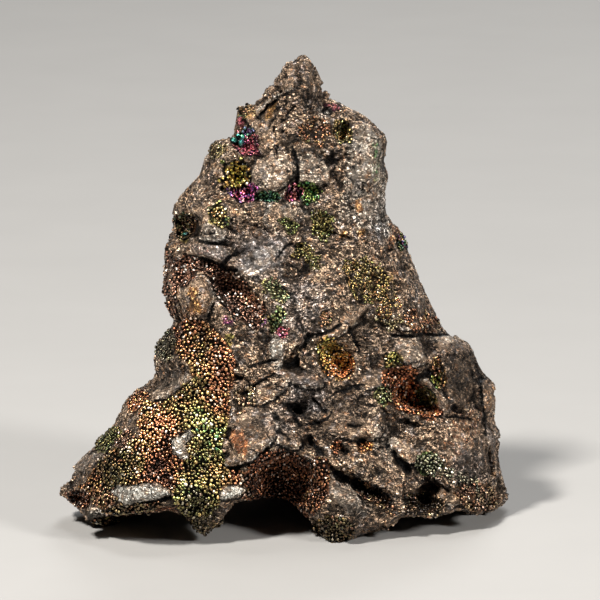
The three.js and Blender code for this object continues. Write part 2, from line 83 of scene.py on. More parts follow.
# Outlines of the front's own forms. A form that has none here is given as an oval instead: its
# middle (across and up), its half width and half height, and its turn.
SHAPES = {
    "tongue": [(-7.4, 76.5), (-7.6, 78.8), (-6.3, 81), (-3.3, 82.2), (-2.1, 83.7), (0.1, 81.8),
        (2.6, 79.2), (2.4, 77.3), (0.9, 75.4), (-1.4, 73.9), (-4, 72.9), (-6.3, 73.2), (-7.2, 74.7)],
    "tongue's root": [(-5.1, 87.1), (-2.8, 87.8), (-1.7, 85.1), (-1.9, 82.2), (-4.6, 81.5),
        (-6.4, 81.9), (-6, 84.2)],
    "knob": [(-19.5, 55.8), (-17.4, 54.9), (-16.1, 53.1), (-15, 50.4), (-16.1, 48.2), (-17, 45.5),
        (-19, 44.6), (-21.5, 47), (-23.1, 49.8), (-22.2, 52.7)],
    "slab": [(-21.9, 61.9), (-19, 63), (-15.9, 62.1), (-12.7, 61.7), (-11.6, 59.4), (-13.8, 57.2),
        (-17.2, 58.5), (-21, 59.9)],
    "curved plate": [(-19.2, 65.3), (-17.4, 67.1), (-14.5, 67.1), (-12.7, 64.8), (-13.2, 62.8),
        (-16.3, 62.4), (-19, 63)],
    "middle slab": [(-13.4, 57.2), (-10.9, 59), (-7.8, 60.3), (-4.6, 61.7), (-1.7, 60.8), (-2.4, 58.5),
        (-4.2, 55.8), (-7.3, 53.8), (-10, 55.1)],
    "arc plate": [(-3.9, 69.1), (-1.9, 71.1), (1.2, 71.1), (3, 69.3), (2.6, 66.6), (-0.1, 65.3),
        (-3.7, 65.7)],
    "foot plate": [(-30.3, 27.9), (-28, 30.9), (-25.1, 33.1), (-22.2, 33.5), (-19.5, 32.6),
        (-21.3, 30.6), (-24, 29.3), (-26.4, 27.2)],
    "lobe": [(-14.1, 13.5), (-12.3, 16.2), (-12.7, 18.9), (-11.8, 23), (-9.6, 26.1), (-6, 26.6),
        (-2.4, 24.8), (-1, 21.6), (-2.4, 18), (-5.1, 15.3), (-8.2, 13.3), (-11.8, 12)],
    "pale face": [(-39.3, 7.2), (-36.6, 8.6), (-30.3, 9), (-26.7, 8.4), (-25.1, 6.8), (-28, 5.2),
        (-32.1, 4.8), (-35.7, 3.6), (-37.5, 5.4)],
    "spike's pale face": [(-14.5, 6.8), (-12.7, 8.4), (-10, 8.6), (-8.2, 7.5), (-9.6, 5.9),
        (-12.3, 5.2), (-14.1, 4.8)],
    "pale ridge": [(-25.3, 18), (-22.6, 20.5), (-20.4, 21.2), (-19.9, 19.4), (-21.7, 16.7),
        (-20.8, 14.4), (-23.1, 13.5), (-24.9, 15.8)],
    "left facet": [(-48.3, 11.5), (-45.1, 14.7), (-41.5, 16), (-38.8, 16.5), (-40.2, 14.7),
        (-42.9, 12.6), (-45.6, 10.8), (-47.4, 9.5)],
    "brow": [(24.2, 39.9), (26.9, 41.2), (30.5, 40.8), (31.8, 38.3), (31.4, 35.1), (28.7, 34.5),
        (26.2, 35.6), (24.6, 37.6)],
    "diagonal plate": [(29.8, 31.8), (32.1, 32.2), (33.6, 30.2), (35.2, 29), (36.8, 26.6), (37, 24.1),
        (35.4, 23.4), (33.9, 25.9), (31.6, 28.6)],
    "right side": [(35, 35.1), (37.7, 36.9), (41.3, 35.6), (43.5, 31.1), (42.6, 26.6), (39.9, 24.3),
        (37.7, 26.1), (35.7, 29.3)],
    "upper pillow": [(44, 32.4), (45.8, 32), (47.4, 30.2), (47.8, 26.6), (47.1, 23.4), (44.9, 23.9),
        (44, 27.9)],
    "lower pillow": [(44.4, 22.5), (46.7, 21.6), (48.5, 19.4), (48.5, 16.7), (46.7, 16.2), (44.7, 18)],
    "peak wedge": [(3.5, 103.5), (6.2, 103.1), (8.2, 99.5), (9.3, 95.2), (6.2, 94.8), (4.2, 95.4),
        (3.5, 99)],
    "peak's left facet": [(-1.9, 98.1), (0.8, 102.2), (3, 102.6), (3.3, 98.1), (1.2, 95.4), (-1.5, 95)],
    "right lump": [(2.6, 80.1), (5.7, 81.7), (9.3, 81), (11.1, 78.3), (9.8, 75.2), (6.2, 74.3),
        (3, 75.6), (2.1, 77.9)],
    "dark hollow": [(-16.1, 54.5), (-14.1, 56.3), (-11.6, 56), (-9.3, 54), (-7.5, 51.5), (-5.7, 49.8),
        (-4.2, 47.7), (-4.6, 44.6), (-6.4, 43.2), (-8.4, 45), (-10.9, 45.5), (-13.2, 47.7),
        (-14.7, 50.2), (-16.1, 52.7)],
    "brown hollow": [(-24, 58.5), (-21.7, 59.4), (-19, 58.5), (-15.9, 58.1), (-14.1, 56.7),
        (-15.9, 54.9), (-17.9, 56), (-19.9, 56.7), (-20.8, 54), (-22.6, 52.2), (-24.2, 54.9)],
    "middle hollow": [(7.8, 40.1), (9.3, 41.2), (11.1, 40.5), (13.4, 38.3), (15.6, 36), (15.4, 33.5),
        (13.8, 32), (10.9, 32.4), (8.4, 33.8), (7.5, 36.5)],
    "right hollow": [(22.4, 29.3), (25.1, 31.1), (28.2, 32.2), (30, 31.3), (31.6, 28.4), (34.1, 25.9),
        (35.7, 23.6), (32.3, 23), (28.7, 24.1), (25.3, 25.2), (23.1, 26.8)],
    "right ledge": [(21.9, 32.9), (24.2, 34.7), (27.1, 35.1), (29.8, 33.5), (28.5, 32.2), (25.5, 31.1),
        (22.8, 29.7)],
    "wide slot": [(14.7, 9.5), (17, 9.9), (18.8, 7.7), (20.6, 8.6), (22.4, 5.9), (21, 5), (18.3, 5.9),
        (15.6, 7.5)],
    "low hollow": [(26, 5.4), (29.1, 6.3), (32.7, 5.9), (35.9, 4.1), (35, 1.6), (31.4, 1.4),
        (27.8, 1.8)],
    "foot hollow": [(21, 6.3), (22.8, 6.8), (24.2, 4.5), (23.3, 2.7), (21.5, 3.6)],
    "triangle": [(-0.1, 26.6), (1.7, 27), (3.9, 25.7), (4.6, 23.6), (2.6, 23.4), (0.8, 24.8)],
    "orange hole": [(15.6, 18.9), (17.9, 18.7), (19, 16.7), (17.4, 16), (16.1, 17.4)],
    "red hole": [(11.6, 17.4), (13.6, 17.4), (14.5, 15.8), (13.4, 14.7), (12, 16.2)],
    "tip pit": [(-48.7, 5.9), (-46.5, 6.8), (-43.8, 6.3), (-43.5, 3.9), (-46, 3), (-47.8, 4.1)],
    "yellow hollow": [(-13.4, 79.7), (-10.9, 80.6), (-8, 79.9), (-7.8, 77), (-8.4, 75), (-10.9, 74.3),
        (-13.2, 75.6)],
    "pink hollow": [(-11.8, 74.3), (-9.6, 75.2), (-7.3, 75.6), (-6, 73.6), (-7.3, 71.8), (-10, 71.1),
        (-11.4, 72.5)],
    "blue hollow": [(-11.4, 83.7), (-10, 86.9), (-7.8, 87.6), (-6, 85.5), (-6, 81.9), (-8.7, 81.5),
        (-10.5, 82.4)],
    "left olive hollow": [(-16.8, 68.9), (-15.2, 70.9), (-13.2, 69.8), (-13.2, 67.1), (-14.7, 65.7),
        (-16.3, 67.1)],
    "left upper hollow": [(-24.4, 68), (-22.2, 68.9), (-19.9, 67.5), (-20.4, 64.8), (-22.2, 62.4),
        (-24, 63.5)],
    "red hollow": [(0.8, 74.3), (2.6, 75.6), (3.5, 74.3), (3.3, 72), (1.2, 71.4), (0.1, 72.5)],
    "green hollow": [(3.5, 75.2), (6.2, 75.6), (8, 73.8), (6.6, 71.1), (4.4, 70.7), (3.5, 72.5)],
    "top olive hollow": [(11.6, 89.1), (13.8, 89.6), (15.2, 87.3), (14.3, 84.6), (12, 84.6),
        (11.1, 86.9)],
    "olive patch": [(6.2, 68.9), (8.4, 69.3), (10.7, 67.5), (10.2, 63.5), (8, 62.6), (6.2, 64.8)],
    "olive field": [(12.9, 58.1), (16.1, 59.4), (19.7, 58.1), (23.3, 54.9), (22.8, 50.4), (19.2, 48.6),
        (16.1, 49.5), (13.8, 53.1)],
    "glint pocket": [(33, 35.6), (34.5, 36.7), (35.7, 34.7), (35.9, 30.6), (34.5, 29.7), (33.2, 31.5)],
    "alcove": [(-8.7, 11.3), (-5.1, 15.3), (-0.1, 16.2), (4.8, 14), (7.5, 10.4), (8.4, 5.4),
        (5.3, 1.8), (1.2, 3.2), (-3.3, 4.5), (-7.3, 5), (-9.1, 8.1)],
    "field": [(-24.4, 42.3), (-21.3, 45.5), (-17.7, 44.6), (-14.1, 41), (-11.6, 37.8), (-11.4, 32.9),
        (-12.3, 28.8), (-12.5, 24.3), (-13.6, 19.8), (-14.1, 15.3), (-13.2, 11.7), (-9.6, 11.3),
        (-6.9, 9.5), (-8.2, 8.1), (-14.1, 7.7), (-14.3, 4.5), (-17.7, 1.4), (-21.3, 1.8), (-24, 4.5),
        (-25.3, 8.1), (-30.3, 9.2), (-37.5, 8.6), (-40.6, 6.8), (-45.1, 6.8), (-42.4, 11.3),
        (-38.8, 16.2), (-34.8, 16.7), (-32.1, 19.4), (-32.3, 23), (-30.3, 26.6), (-25.8, 26.8),
        (-22.2, 30), (-19.5, 32.2), (-21.3, 35.1), (-23.5, 38.3)],
}

# Raised forms: outline, height, width of the edge, and the way in which the form rises, if any.
PLATES = [
    ("tongue", 1.9, 0.9, -50), ("tongue's root", 0.9, 1.0, None), ("knob", 2.2, 1.5, 0),
    ("slab", 1.7, 0.7, -80), ("curved plate", 1.1, 0.6, -90), ("middle slab", 0.8, 1.0, None),
    ("arc plate", 0.9, 0.8, None), ("foot plate", 1.5, 0.6, -60), ("lobe", 2.3, 1.1, -50),
    ("pale face", 1.9, 0.6, -90), ("spike's pale face", 1.5, 0.6, -70), ("pale ridge", 1.0, 0.9, None),
    ("left facet", 1.2, 0.7, 100), ("brow", 1.7, 0.9, -90), ("diagonal plate", 1.3, 0.5, 60),
    ("right side", 0.9, 1.2, None), ("upper pillow", 1.3, 0.9, None), ("lower pillow", 1.4, 0.9, None),
    ("peak wedge", 1.3, 0.8, None), ("peak's left facet", 0.9, 1.0, None),
    ("right lump", 1.2, 0.9, None), ((-1.5, 38, 1.8, 3.8, 6), 1.1, 0.8, None),
    ((-26.5, 39.5, 2.5, 3.8, -20), 1.3, 0.9, None), ((13.5, 44.5, 8, 2, 38), 1.7, 0.8, -60),
    ((3.5, 32.5, 5.8, 2.2, -20), 1.1, 0.8, -90), ((-3.5, 29.5, 5.4, 2.4, 30), 1.2, 0.7, -60),
    ((27, 44.5, 5.8, 1.8, -8), 1.2, 0.6, -90), ((37.5, 39.5, 5, 2.6, -20), 1.0, 1.0, None),
    ((14.5, 21.5, 7.7, 3.1, -14), 1.0, 1.0, -80), ((12.5, 6.5, 5.8, 2.6, -40), 1.3, 0.9, 40),
    ((38.5, 5.5, 6.3, 2.2, -6), 1.1, 0.7, -90), ((19.5, 80, 2.6, 9, 0), 0.9, 1.2, None),
    ((-23.5, 53.5, 2.6, 4.5, 10), 0.9, 1.2, None), ((27, 16, 4.5, 2.2, -40), 0.9, 0.7, -130),
    ((0, 19, 4.5, 2.0, -30), 0.9, 0.7, -100), ((20, 32, 4.0, 2.4, 20), 0.9, 0.7, -80),
]

# Hollows: outline, depth and the width of the wall.
HOLLOWS = [
    ("yellow hollow", 3.0, 0.9), ("pink hollow", 2.6, 0.9), ("blue hollow", 2.4, 1.1),
    ("left olive hollow", 2.6, 0.9), ("left upper hollow", 3.2, 1.0), ("red hollow", 2.0, 0.8),
    ("green hollow", 1.4, 0.8), ("top olive hollow", 2.8, 1.0), ("olive patch", 0.9, 1.0),
    ("olive field", 0.6, 1.2), ("dark hollow", 3.4, 1.6), ("brown hollow", 1.7, 1.0),
    ("middle hollow", 1.9, 2.0), ("right hollow", 4.8, 1.1), ("right ledge", 1.8, 0.8),
    ("glint pocket", 2.4, 0.7), ("wide slot", 4.6, 0.8), ("low hollow", 4.2, 1.2),
    ("foot hollow", 3.2, 0.8), ("triangle", 4.0, 0.8), ("orange hole", 3.6, 0.7),
    ("red hole", 3.4, 0.6), ("tip pit", 2.6, 1.0), ((9.5, 38.7, 2.6, 1.3, 15), 1.8, 0.8),
    ((-13.4, 74.3, 1.1, 0.9, 0), 2.4, 0.6), ((-15.6, 67.9, 0.9, 1.2, 0), 1.2, 0.5),
    ((-5.3, 44, 0.9, 2, 10), 2.6, 0.6), ((8.9, 46.1, 1.1, 1.1, 0), 3.0, 0.7),
    ((26.4, 62.4, 0.9, 1.6, 0), 2.0, 0.6), ((-6, 66.2, 0.9, 0.9, 0), 2.4, 0.6),
    ((3.5, 61.4, 1.4, 1.1, 0), 2.2, 0.6), ((38, 25.2, 0.9, 0.9, 0), 2.2, 0.6),
    ((45, 32, 0.9, 0.7, 0), 1.4, 0.5), ((-25.3, 49.5, 1.6, 1.8, 0), 2.0, 0.7),
    ((19.5, 51.3, 1.6, 1.4, 0), 1.8, 0.6), ((15.2, 56.7, 1.4, 1.1, 0), 1.6, 0.6),
    ((11, 82, 0.9, 1.1, 0), 0.8, 0.6), ((10.2, 64.8, 1.8, 1.1, 30), 1.4, 0.7),
    ((-1.7, 82.2, 0.7, 1.8, 0), 1.8, 0.5), ((0.3, 99.3, 0.8, 0.6, 0), 1.4, 0.5),
    ((5.3, 18, 2, 1.4, -30), 1.2, 0.7), ((41, 9.5, 2.9, 1.4, -20), 1.0, 0.8),
    ((9.3, 91.3, 1.2, 1.4, 0), 1.4, 0.7), ((-10.6, 32.0, 2.0, 1.2, 30), 1.8, 0.7),
    ((28.0, 22.0, 2.6, 1.0, -15), 1.6, 0.6), ((-0.6, 89.4, 0.5, 0.5, 0), 1.4, 0.4),
    ((-0.3, 87.1, 0.5, 0.6, 0), 1.4, 0.4), ((-2.1, 87.8, 0.6, 0.4, 0), 1.4, 0.4),
    ((-6.4, 84.2, 0.6, 0.9, 0), 1.4, 0.4),
]

# Cracks: the points they run through, half width and depth.
CRACKS = [
    ([(1.7, 83.5), (2.9, 80), (3.1, 77), (2.2, 74.3)], 0.55, 1.8),
    ([(-1.6, 72.2), (-3.7, 71.7), (-6.2, 72)], 0.6, 2.4),
    ([(6.2, 27.7), (7.5, 26.4), (8.9, 24.6)], 0.6, 2.2),
    ([(9.5, 27.5), (12, 29), (15, 30), (18, 30.8)], 0.5, 1.6),
    ([(1.5, 25), (3.5, 21.5), (7, 22), (9.5, 23), (10.5, 24.5)], 0.5, 1.8),
    ([(5.4, 18.5), (7.2, 16.7), (8.6, 15.3)], 0.6, 2.2),
    ([(24.6, 15.5), (25.6, 13.2), (28, 11.2)], 0.8, 3.0),
    ([(9.5, 13), (11.5, 10.8), (13.5, 9.6), (16, 7), (18, 5.6)], 0.7, 3.0),
    ([(29, 33), (30.5, 32.6), (32.5, 33.2), (34, 31)], 0.8, 3.0),
    ([(35, 23.2), (38.4, 23.4), (42, 22.6)], 0.5, 1.6),
    ([(-19.2, 65), (-17.4, 64), (-15.4, 64.2)], 0.4, 1.2),
    ([(-22, 59.3), (-19, 58.7), (-16, 58.2), (-13.5, 56.8), (-10.5, 56)], 0.6, 1.8),
    ([(-19, 62.6), (-16.3, 61.9), (-13, 61.8)], 0.5, 1.4),
    ([(-28.5, 38.7), (-25.8, 39), (-23, 40)], 0.4, 1.2),
    ([(-29, 37.4), (-26, 37.4), (-23.3, 38.3)], 0.4, 1.2),
    ([(1.5, 97.2), (2.4, 96.7), (3.3, 96.3)], 0.4, 1.2),
    ([(-13.8, 57.6), (-12.4, 59), (-10.5, 60)], 0.5, 1.4),
    ([(-13.5, 11.5), (-10, 12.4), (-6.5, 14), (-3.5, 16.6)], 0.6, 2.2),
    ([(24, 41.6), (28.7, 41.3), (32.7, 41.8), (38, 41.6)], 0.6, 2.2),
    ([(44, 32.4), (44.3, 28), (45, 23.4), (45.4, 19)], 0.5, 1.4),
    ([(31.4, 9.4), (34, 8.6), (36.5, 6.8)], 0.5, 1.6),
    ([(-41.5, 5.4), (-37.5, 2.8), (-30.3, 3.9), (-25, 5.8)], 0.6, 2.0),
    ([(-11.8, 93.6), (-8.7, 89.6), (-7.3, 87.3)], 0.5, 1.6),
    ([(-6, 90), (-4.8, 91.4), (-3.3, 92.9), (-1, 94.7), (1.5, 95.9)], 0.6, 2.0),
    ([(-3.7, 88.2), (-2.1, 89.8), (-1.2, 92.1), (1.2, 93.6)], 0.4, 1.2),
    ([(-0.3, 89.4), (0.8, 90.9), (2.4, 92.7)], 0.4, 1.0),
    ([(-16, 67), (-12.7, 65.5), (-9.6, 64.4)], 0.4, 1.0),
    ([(3.5, 38.3), (5.6, 41.5), (8.4, 41.8), (12.6, 44)], 0.6, 2.0),
    ([(-1.5, 59), (0.5, 61.5), (2, 62)], 0.5, 1.4),
    ([(-0.5, 52.5), (1, 50.5), (2.5, 51.5)], 0.5, 1.4),
    ([(14.5, 43.5), (15.5, 40.5), (16.8, 38)], 0.5, 1.6),
    ([(-8, 34.5), (-5, 35.6), (-1.5, 36.2)], 0.6, 1.8),
    ([(-9.5, 28.5), (-6, 31), (-2.5, 33)], 0.6, 1.8),
    ([(3.5, 16.7), (4.4, 16), (5.3, 15.1)], 0.4, 1.2),
    ([(14.3, 21.6), (15.6, 21.2), (17, 21.4)], 0.5, 1.6),
    ([(21.5, 25.5), (22.6, 24.3), (23.3, 23.9)], 0.5, 1.8),
    ([(16.3, 27.3), (17.7, 28.2)], 0.4, 1.2),
    ([(-1.8, 20.5), (0.2, 19.6), (1.4, 18)], 0.5, 1.4),
]

# Thin ridges with a painted highlight along them: the points they run through, half width and height.
RIDGES = [
    ([(2.6, 78.3), (1.9, 76.5), (0.8, 74.7), (-0.8, 72.9), (-2.6, 71.1), (-3.9, 69.6), (-4.3, 67.8),
        (-3.9, 66)], 0.45, 0.7),
    ([(-7.3, 75.6), (-6.4, 73.8), (-5.1, 72.9), (-3.3, 72.7), (-0.8, 72.9)], 0.35, 0.3),
    ([(-19, 63), (-16.3, 62.4), (-13.4, 62.8)], 0.4, 0.5),
    ([(-6, 91.6), (-3.3, 93.9), (-1, 95.4), (1.2, 96.5)], 0.45, 0.5),
    ([(2.1, 79.9), (3, 81), (5.7, 81.9), (8.6, 81.3)], 0.4, 0.4),
    ([(-13.5, 11.9), (-9.8, 12.9), (-6, 14.6), (-2.6, 17.4)], 0.4, 0.4),
]

# Fine parallel grooves: outline, turn, distance from one to the next, and depth.
GROOVES = [
    ("peak wedge", 115, 0.9, 0.22),
    ((19.5, 77, 3.6, 13, 2), 95, 1.7, 0.14),
    ((40, 18, 6, 8, -30), 130, 2.3, 0.20),
    ((46, 27, 2.2, 5.5, 0), 88, 1.0, 0.22),
    ("left facet", 40, 0.9, 0.22),
    ((14, 71, 3, 7, -20), 110, 1.0, 0.26),
    ((-6, 89, 4, 5, -30), 58, 1.1, 0.40),
]

# Rings of fine ridges: middle, inner and outer radius, first and last angle, distance, and depth.
RINGS = [
    ((13.2, 87.1), 2.6, 9.5, -120, 20, 1.25, 0.22),
    ((4.5, 86.0), 4.5, 11.5, 95, 185, 1.35, 0.40),
    ((0.5, 68.0), 2.6, 6.0, -60, 200, 1.2, 0.25),
]

# Smooth ground beside the plates, and the share of the roughness that it loses.
CALM = [
    ((40.6, 33.3, 5, 5.9, 0), 0.15), ((46.5, 23.6, 2.2, 9, 0), 0.7), ((40.8, 18, 5.9, 6.3, -20), 0.65),
    ((18, 78, 4.5, 11, 0), 0.75), ((-5, 59.4, 7.2, 5, 30), 0.75), ((-17, 68, 5, 4, 30), 0.6),
    ((-19, 60.8, 5, 2.4, -10), 0.6), ((-4.5, 90, 5, 5, -40), 0.5), ((-43.5, 14, 3.5, 3, 30), 0.6),
]


class Bed(NamedTuple):
    """Where beads lie, and what they are like.

    `film` is their place on the film's scale of colours, `spread` how far single beads stray from
    it, and `change` how much it gains towards `way`. `cover` is the share of the bed that they
    cover. `vivid` is how clean their colour is and `tone` how light; the low tone of beds that lie
    in shade, such as the alcove under the lobe, is painted shade.
    """

    shape: object
    film: float
    radius: float = 0.46
    spread: float = 0.06
    cover: float = 1.0
    vivid: float = 0.8
    tone: float = 1.0
    change: float = 0.0
    way: float = 0.0


# The beds of each piece of the crust. Where two overlap, the first one wins.
BEDS = {
    "crust_upper": [
        Bed("yellow hollow", 0.46, radius=0.63, spread=0.04, vivid=1.0, tone=1.5),
        Bed("pink hollow", 0.94, spread=0.04, vivid=1.0, tone=1.2),
        Bed((-9.7, 84.8, 1.3, 1.2, 0), 0.75, radius=0.81, spread=0.03, vivid=1.0, tone=1.8),
        Bed((-8.2, 86.7, 1.6, 1.1, 30), 0.85, spread=0.03, vivid=0.7, tone=1.6),
        Bed("blue hollow", 0.99, radius=0.41, spread=0.02, vivid=0.9),
        Bed("left olive hollow", 0.49, radius=0.45, spread=0.08),
        Bed((-21.9, 64.2, 0.7, 0.7, 0), 0.70, radius=0.76, vivid=0.9, tone=2.5),
        Bed("left upper hollow", 0.42, radius=0.43, spread=0.20, vivid=0.6, tone=0.7),
        Bed("red hollow", 0.99, radius=0.48, spread=0.02),
        Bed("green hollow", 0.63, radius=0.39, spread=0.03, vivid=1.0, tone=1.1),
        Bed((-3.7, 72.3, 2.4, 0.8, 5), 0.71, radius=0.34, spread=0.03, tone=0.9),
        Bed("top olive hollow", 0.47, radius=0.39, spread=0.09, tone=0.9),
        Bed((7, 87, 3.4, 3.2, 0), 0.31, radius=0.34, spread=0.10, cover=0.5, vivid=0.7),
        Bed("olive patch", 0.52, radius=0.34, spread=0.05, cover=0.7),
        Bed((1.2, 66.2, 2.2, 1.2, -35), 0.58, radius=0.32, spread=0.04, cover=0.7, tone=0.7),
        Bed((26.4, 62.4, 0.9, 1.6, 0), 0.60, radius=0.39, spread=0.25),
        Bed((4, 60.6, 2.2, 1.5, 0), 0.48, radius=0.34, spread=0.07, cover=0.7, tone=0.7),
        Bed((6.6, 58, 2.4, 1.2, -40), 0.52, radius=0.32, spread=0.05, cover=0.6, tone=0.7),
        Bed((-15, 83, 1.8, 1.8, 0), 0.45, radius=0.34, cover=0.5, vivid=0.6),
        Bed((-8.4, 91.8, 2, 1.6, 0), 0.38, radius=0.32, cover=0.4, vivid=0.6),
    ],
    "crust_dark_hollow": [
        Bed((-2.0, 51.5, 3.2, 1.8, -40), 0.58, radius=0.37, spread=0.08, cover=0.6, vivid=0.5),
        Bed((-1.6, 45.2, 1.2, 3.0, -20), 0.60, radius=0.39, cover=0.8, vivid=0.7),
        Bed((-0.6, 42.5, 1.3, 1.0, 0), 0.99, radius=0.39, spread=0.02),
        Bed((-26.4, 39.6, 2.5, 3.4, 0), 0.52, radius=0.39, spread=0.10, cover=0.5, vivid=0.3),
        Bed((-25.3, 53, 1.8, 6.8, 0), 0.16, radius=0.41, spread=0.10, cover=0.5, vivid=0.5, tone=1.8),
        Bed("dark hollow", 0.13, radius=0.41, spread=0.07, vivid=0.45, change=0.1, way=40, tone=3.0),
        Bed("brown hollow", 0.14, radius=0.41, spread=0.06, cover=0.9, vivid=0.5, tone=1.7),
    ],
    "crust_middle": [
        Bed("middle hollow", 0.37, radius=0.39, vivid=1.0, change=-0.13, way=-50, tone=1.9),
        Bed((9.3, 45.5, 1.8, 1.6, 0), 0.34, radius=0.34, cover=0.5, vivid=0.6),
        Bed("olive field", 0.44, radius=0.34, spread=0.07, cover=0.5, tone=0.9),
        Bed((22.5, 50, 3, 5, 20), 0.36, radius=0.34, spread=0.10, cover=0.4, tone=1.2),
    ],
    "crust_right": [
        Bed((31.6, 27.4, 2.6, 2.0, -50), 0.58, radius=0.41, spread=0.05, tone=0.6),
        Bed((22.2, 28.2, 1.8, 2.2, 0), 0.56, radius=0.39, spread=0.07, cover=0.8, vivid=0.6, tone=0.8),
        Bed((24.2, 35.9, 2.0, 1.6, 0), 0.51, radius=0.41, spread=0.05, cover=0.9, vivid=0.9),
        Bed((34.2, 31.6, 1.0, 1.5, 10), 0.54, radius=0.45, spread=0.03, vivid=1.0, tone=1.3),
        Bed("glint pocket", 0.36, radius=0.43, spread=0.08),
        Bed("right ledge", 0.22, radius=0.41, spread=0.05, vivid=0.9, tone=1.5),
        Bed("right hollow", 0.20, radius=0.43, vivid=0.9, change=0.04, way=-90, tone=2.2),
        Bed((30.5, 44.6, 4.5, 2.4, -20), 0.27, radius=0.39, spread=0.10, cover=0.4, vivid=0.7),
        Bed((24, 45, 3.5, 2.0, -10), 0.48, radius=0.34, spread=0.06, cover=0.4, vivid=0.5),
    ],
    "crust_low": [
        Bed((17.9, 16.8, 1.6, 1.2, 0), 0.31, radius=0.37, vivid=1.0, tone=1.2),
        Bed((11.6, 16.9, 1.0, 1.4, 0), 0.22, radius=0.37, vivid=0.9),
        Bed((32.3, 13, 2.9, 2.2, 0), 0.64, radius=0.43, spread=0.04, vivid=0.3, tone=0.7),
        Bed((39.5, 9.0, 5.5, 1.8, -25), 0.60, radius=0.41, spread=0.08, cover=0.4, vivid=0.2),
        Bed("low hollow", 0.34, radius=0.43, spread=0.10, cover=0.5, vivid=0.5, tone=1.2),
        Bed((43.0, 5.4, 5.2, 3.0, -15), 0.32, radius=0.43, spread=0.09, cover=0.6, vivid=0.5),
        Bed((11, -2, 4.2, 3.2, 0), 0.41, spread=0.07, cover=0.95, vivid=0.6, tone=0.7),
        Bed((20.5, 5.6, 5, 1.6, -38), 0.32, radius=0.39, spread=0.10, cover=0.5, vivid=0.6),
        Bed((6.4, 7.5, 3.2, 7.0, -20), 0.25, radius=0.41, spread=0.07, tone=0.7),
        Bed("alcove", 0.20, radius=0.43, spread=0.05, vivid=0.9, tone=0.6),
    ],
    "crust_foot": [
        Bed((-39.7, 18.2, 3.4, 1.6, 38), 0.54, radius=0.37, spread=0.04, tone=0.8),
        Bed((-32.5, 27, 2.6, 1.8, 48), 0.29, radius=0.39, spread=0.05, cover=0.7),
        Bed("tip pit", 0.21, radius=0.45, spread=0.05, tone=0.6),
        Bed((-39.8, 5.5, 2.4, 2.6, 0), 0.34, spread=0.08, cover=0.7, vivid=0.6),
        Bed((-34, 3.2, 6.5, 1.1, 8), 0.40, spread=0.08, cover=0.8, vivid=0.6, tone=0.8),
        Bed((-40.6, -1.0, 3.6, 1.4, 5), 0.40, radius=0.48, spread=0.07, cover=0.9, vivid=0.7, tone=0.7),
        Bed("field", None, spread=0.06),
        Bed((-35, 17.5, 2.2, 2.6, 0), 0.28, radius=0.41, spread=0.10, cover=0.4, vivid=0.5),
        Bed((-9, 27.5, 2.6, 3.4, -30), 0.40, radius=0.43, spread=0.10, cover=0.4, vivid=0.4),
        Bed((-7.5, 8, 2.6, 2.6, 0), 0.34, radius=0.48, spread=0.07, tone=0.8),
        Bed((-17.5, 0, 3.0, 2.4, 0), 0.44, radius=0.43, spread=0.06, cover=0.5, vivid=0.4, tone=0.6),
    ],
}

# Rock that no bead covers.
BARE = ("pale ridge", "pale face", "spike's pale face")

# Spots of the broad field over the left foot, and the place on the film's scale that its
# beads take there.
FIELD_FILM = [
    (-14.3, 38, 0.27), (-14, 33, 0.26), (-14.3, 27, 0.29), (-18, 39, 0.38), (-21.7, 40, 0.34),
    (-24, 42, 0.19), (-20, 30, 0.43), (-24.5, 26.5, 0.41), (-30, 24.3, 0.35), (-28, 20.7, 0.26),
    (-25.3, 17, 0.20), (-18.3, 23, 0.53), (-17.4, 20.3, 0.57), (-14, 17.6, 0.53), (-18.6, 14.4, 0.52),
    (-16, 10, 0.44), (-22.6, 7.2, 0.55), (-19, 4.5, 0.50), (-28, 12.2, 0.13), (-26.2, 10, 0.19),
    (-31.2, 18, 0.36), (-33.4, 14.4, 0.45), (-38.8, 14, 0.40), (-37.5, 10.4, 0.47), (-42.4, 8.6, 0.33),
    (-45, 7, 0.28), (-10, 10.4, 0.30),
]

# Film on bare rock: outline, place on the film's scale, and how thickly it lies.
TINTS = [
    ((-10, 18, 1.8, 3.2, 25), 0.27, 0.55), ((10.5, 92.7, 1.8, 0.9, -20), 0.98, 0.6),
    ((-8.4, 91.8, 2.2, 1.8, 0), 0.38, 0.6), ((-9.6, 89.6, 1.1, 1.1, 0), 0.98, 0.7),
    ((-15, 83, 2, 2, 0), 0.46, 0.5), ((-3, 91.8, 0.9, 2.4, -25), 0.36, 0.7),
    ((22.8, 51.8, 2.7, 4, 0), 0.44, 0.4), ((16.8, 70.2, 0.9, 1.4, 0), 0.33, 0.7),
    ((17.4, 64.6, 0.9, 1.1, 0), 0.34, 0.7), ((13.4, 64, 1.1, 0.9, 0), 0.34, 0.7),
    ((20.6, 81, 0.6, 5, 0), 0.70, 0.45), ((-20.4, 51.3, 1.4, 1.4, 0), 0.33, 0.6),
    ((-19.7, 48.2, 1.6, 1.6, 0), 0.34, 0.65), ((-12.5, 44.8, 1.6, 0.9, -20), 0.92, 0.55),
    ((-4.8, 45.2, 1.1, 1.8, 0), 0.90, 0.55), ((-12.3, 41.4, 1.1, 0.9, 0), 0.50, 0.7),
    ((-12.3, 39.6, 1.1, 0.7, 0), 0.45, 0.7), ((-19, 60.8, 3, 1.4, -10), 0.99, 0.3),
    ((46.2, 28, 1.8, 4.5, 0), 0.34, 0.35), ((40, 20, 3.6, 7, -30), 0.26, 0.35),
    ((-18, 0, 3.6, 2.5, 0), 0.45, 0.45), ((-30.3, 1.8, 9, 2, 0), 0.16, 0.6),
    ((10.2, 20.3, 5.9, 3.6, 0), 0.28, 0.25), ((25, 66.4, 1.1, 5.9, -15), 0.27, 0.5),
    ((19, 75, 1.0, 4, 0), 0.32, 0.4), ((-21.5, 46, 1.8, 3, 0), 0.30, 0.45),
]
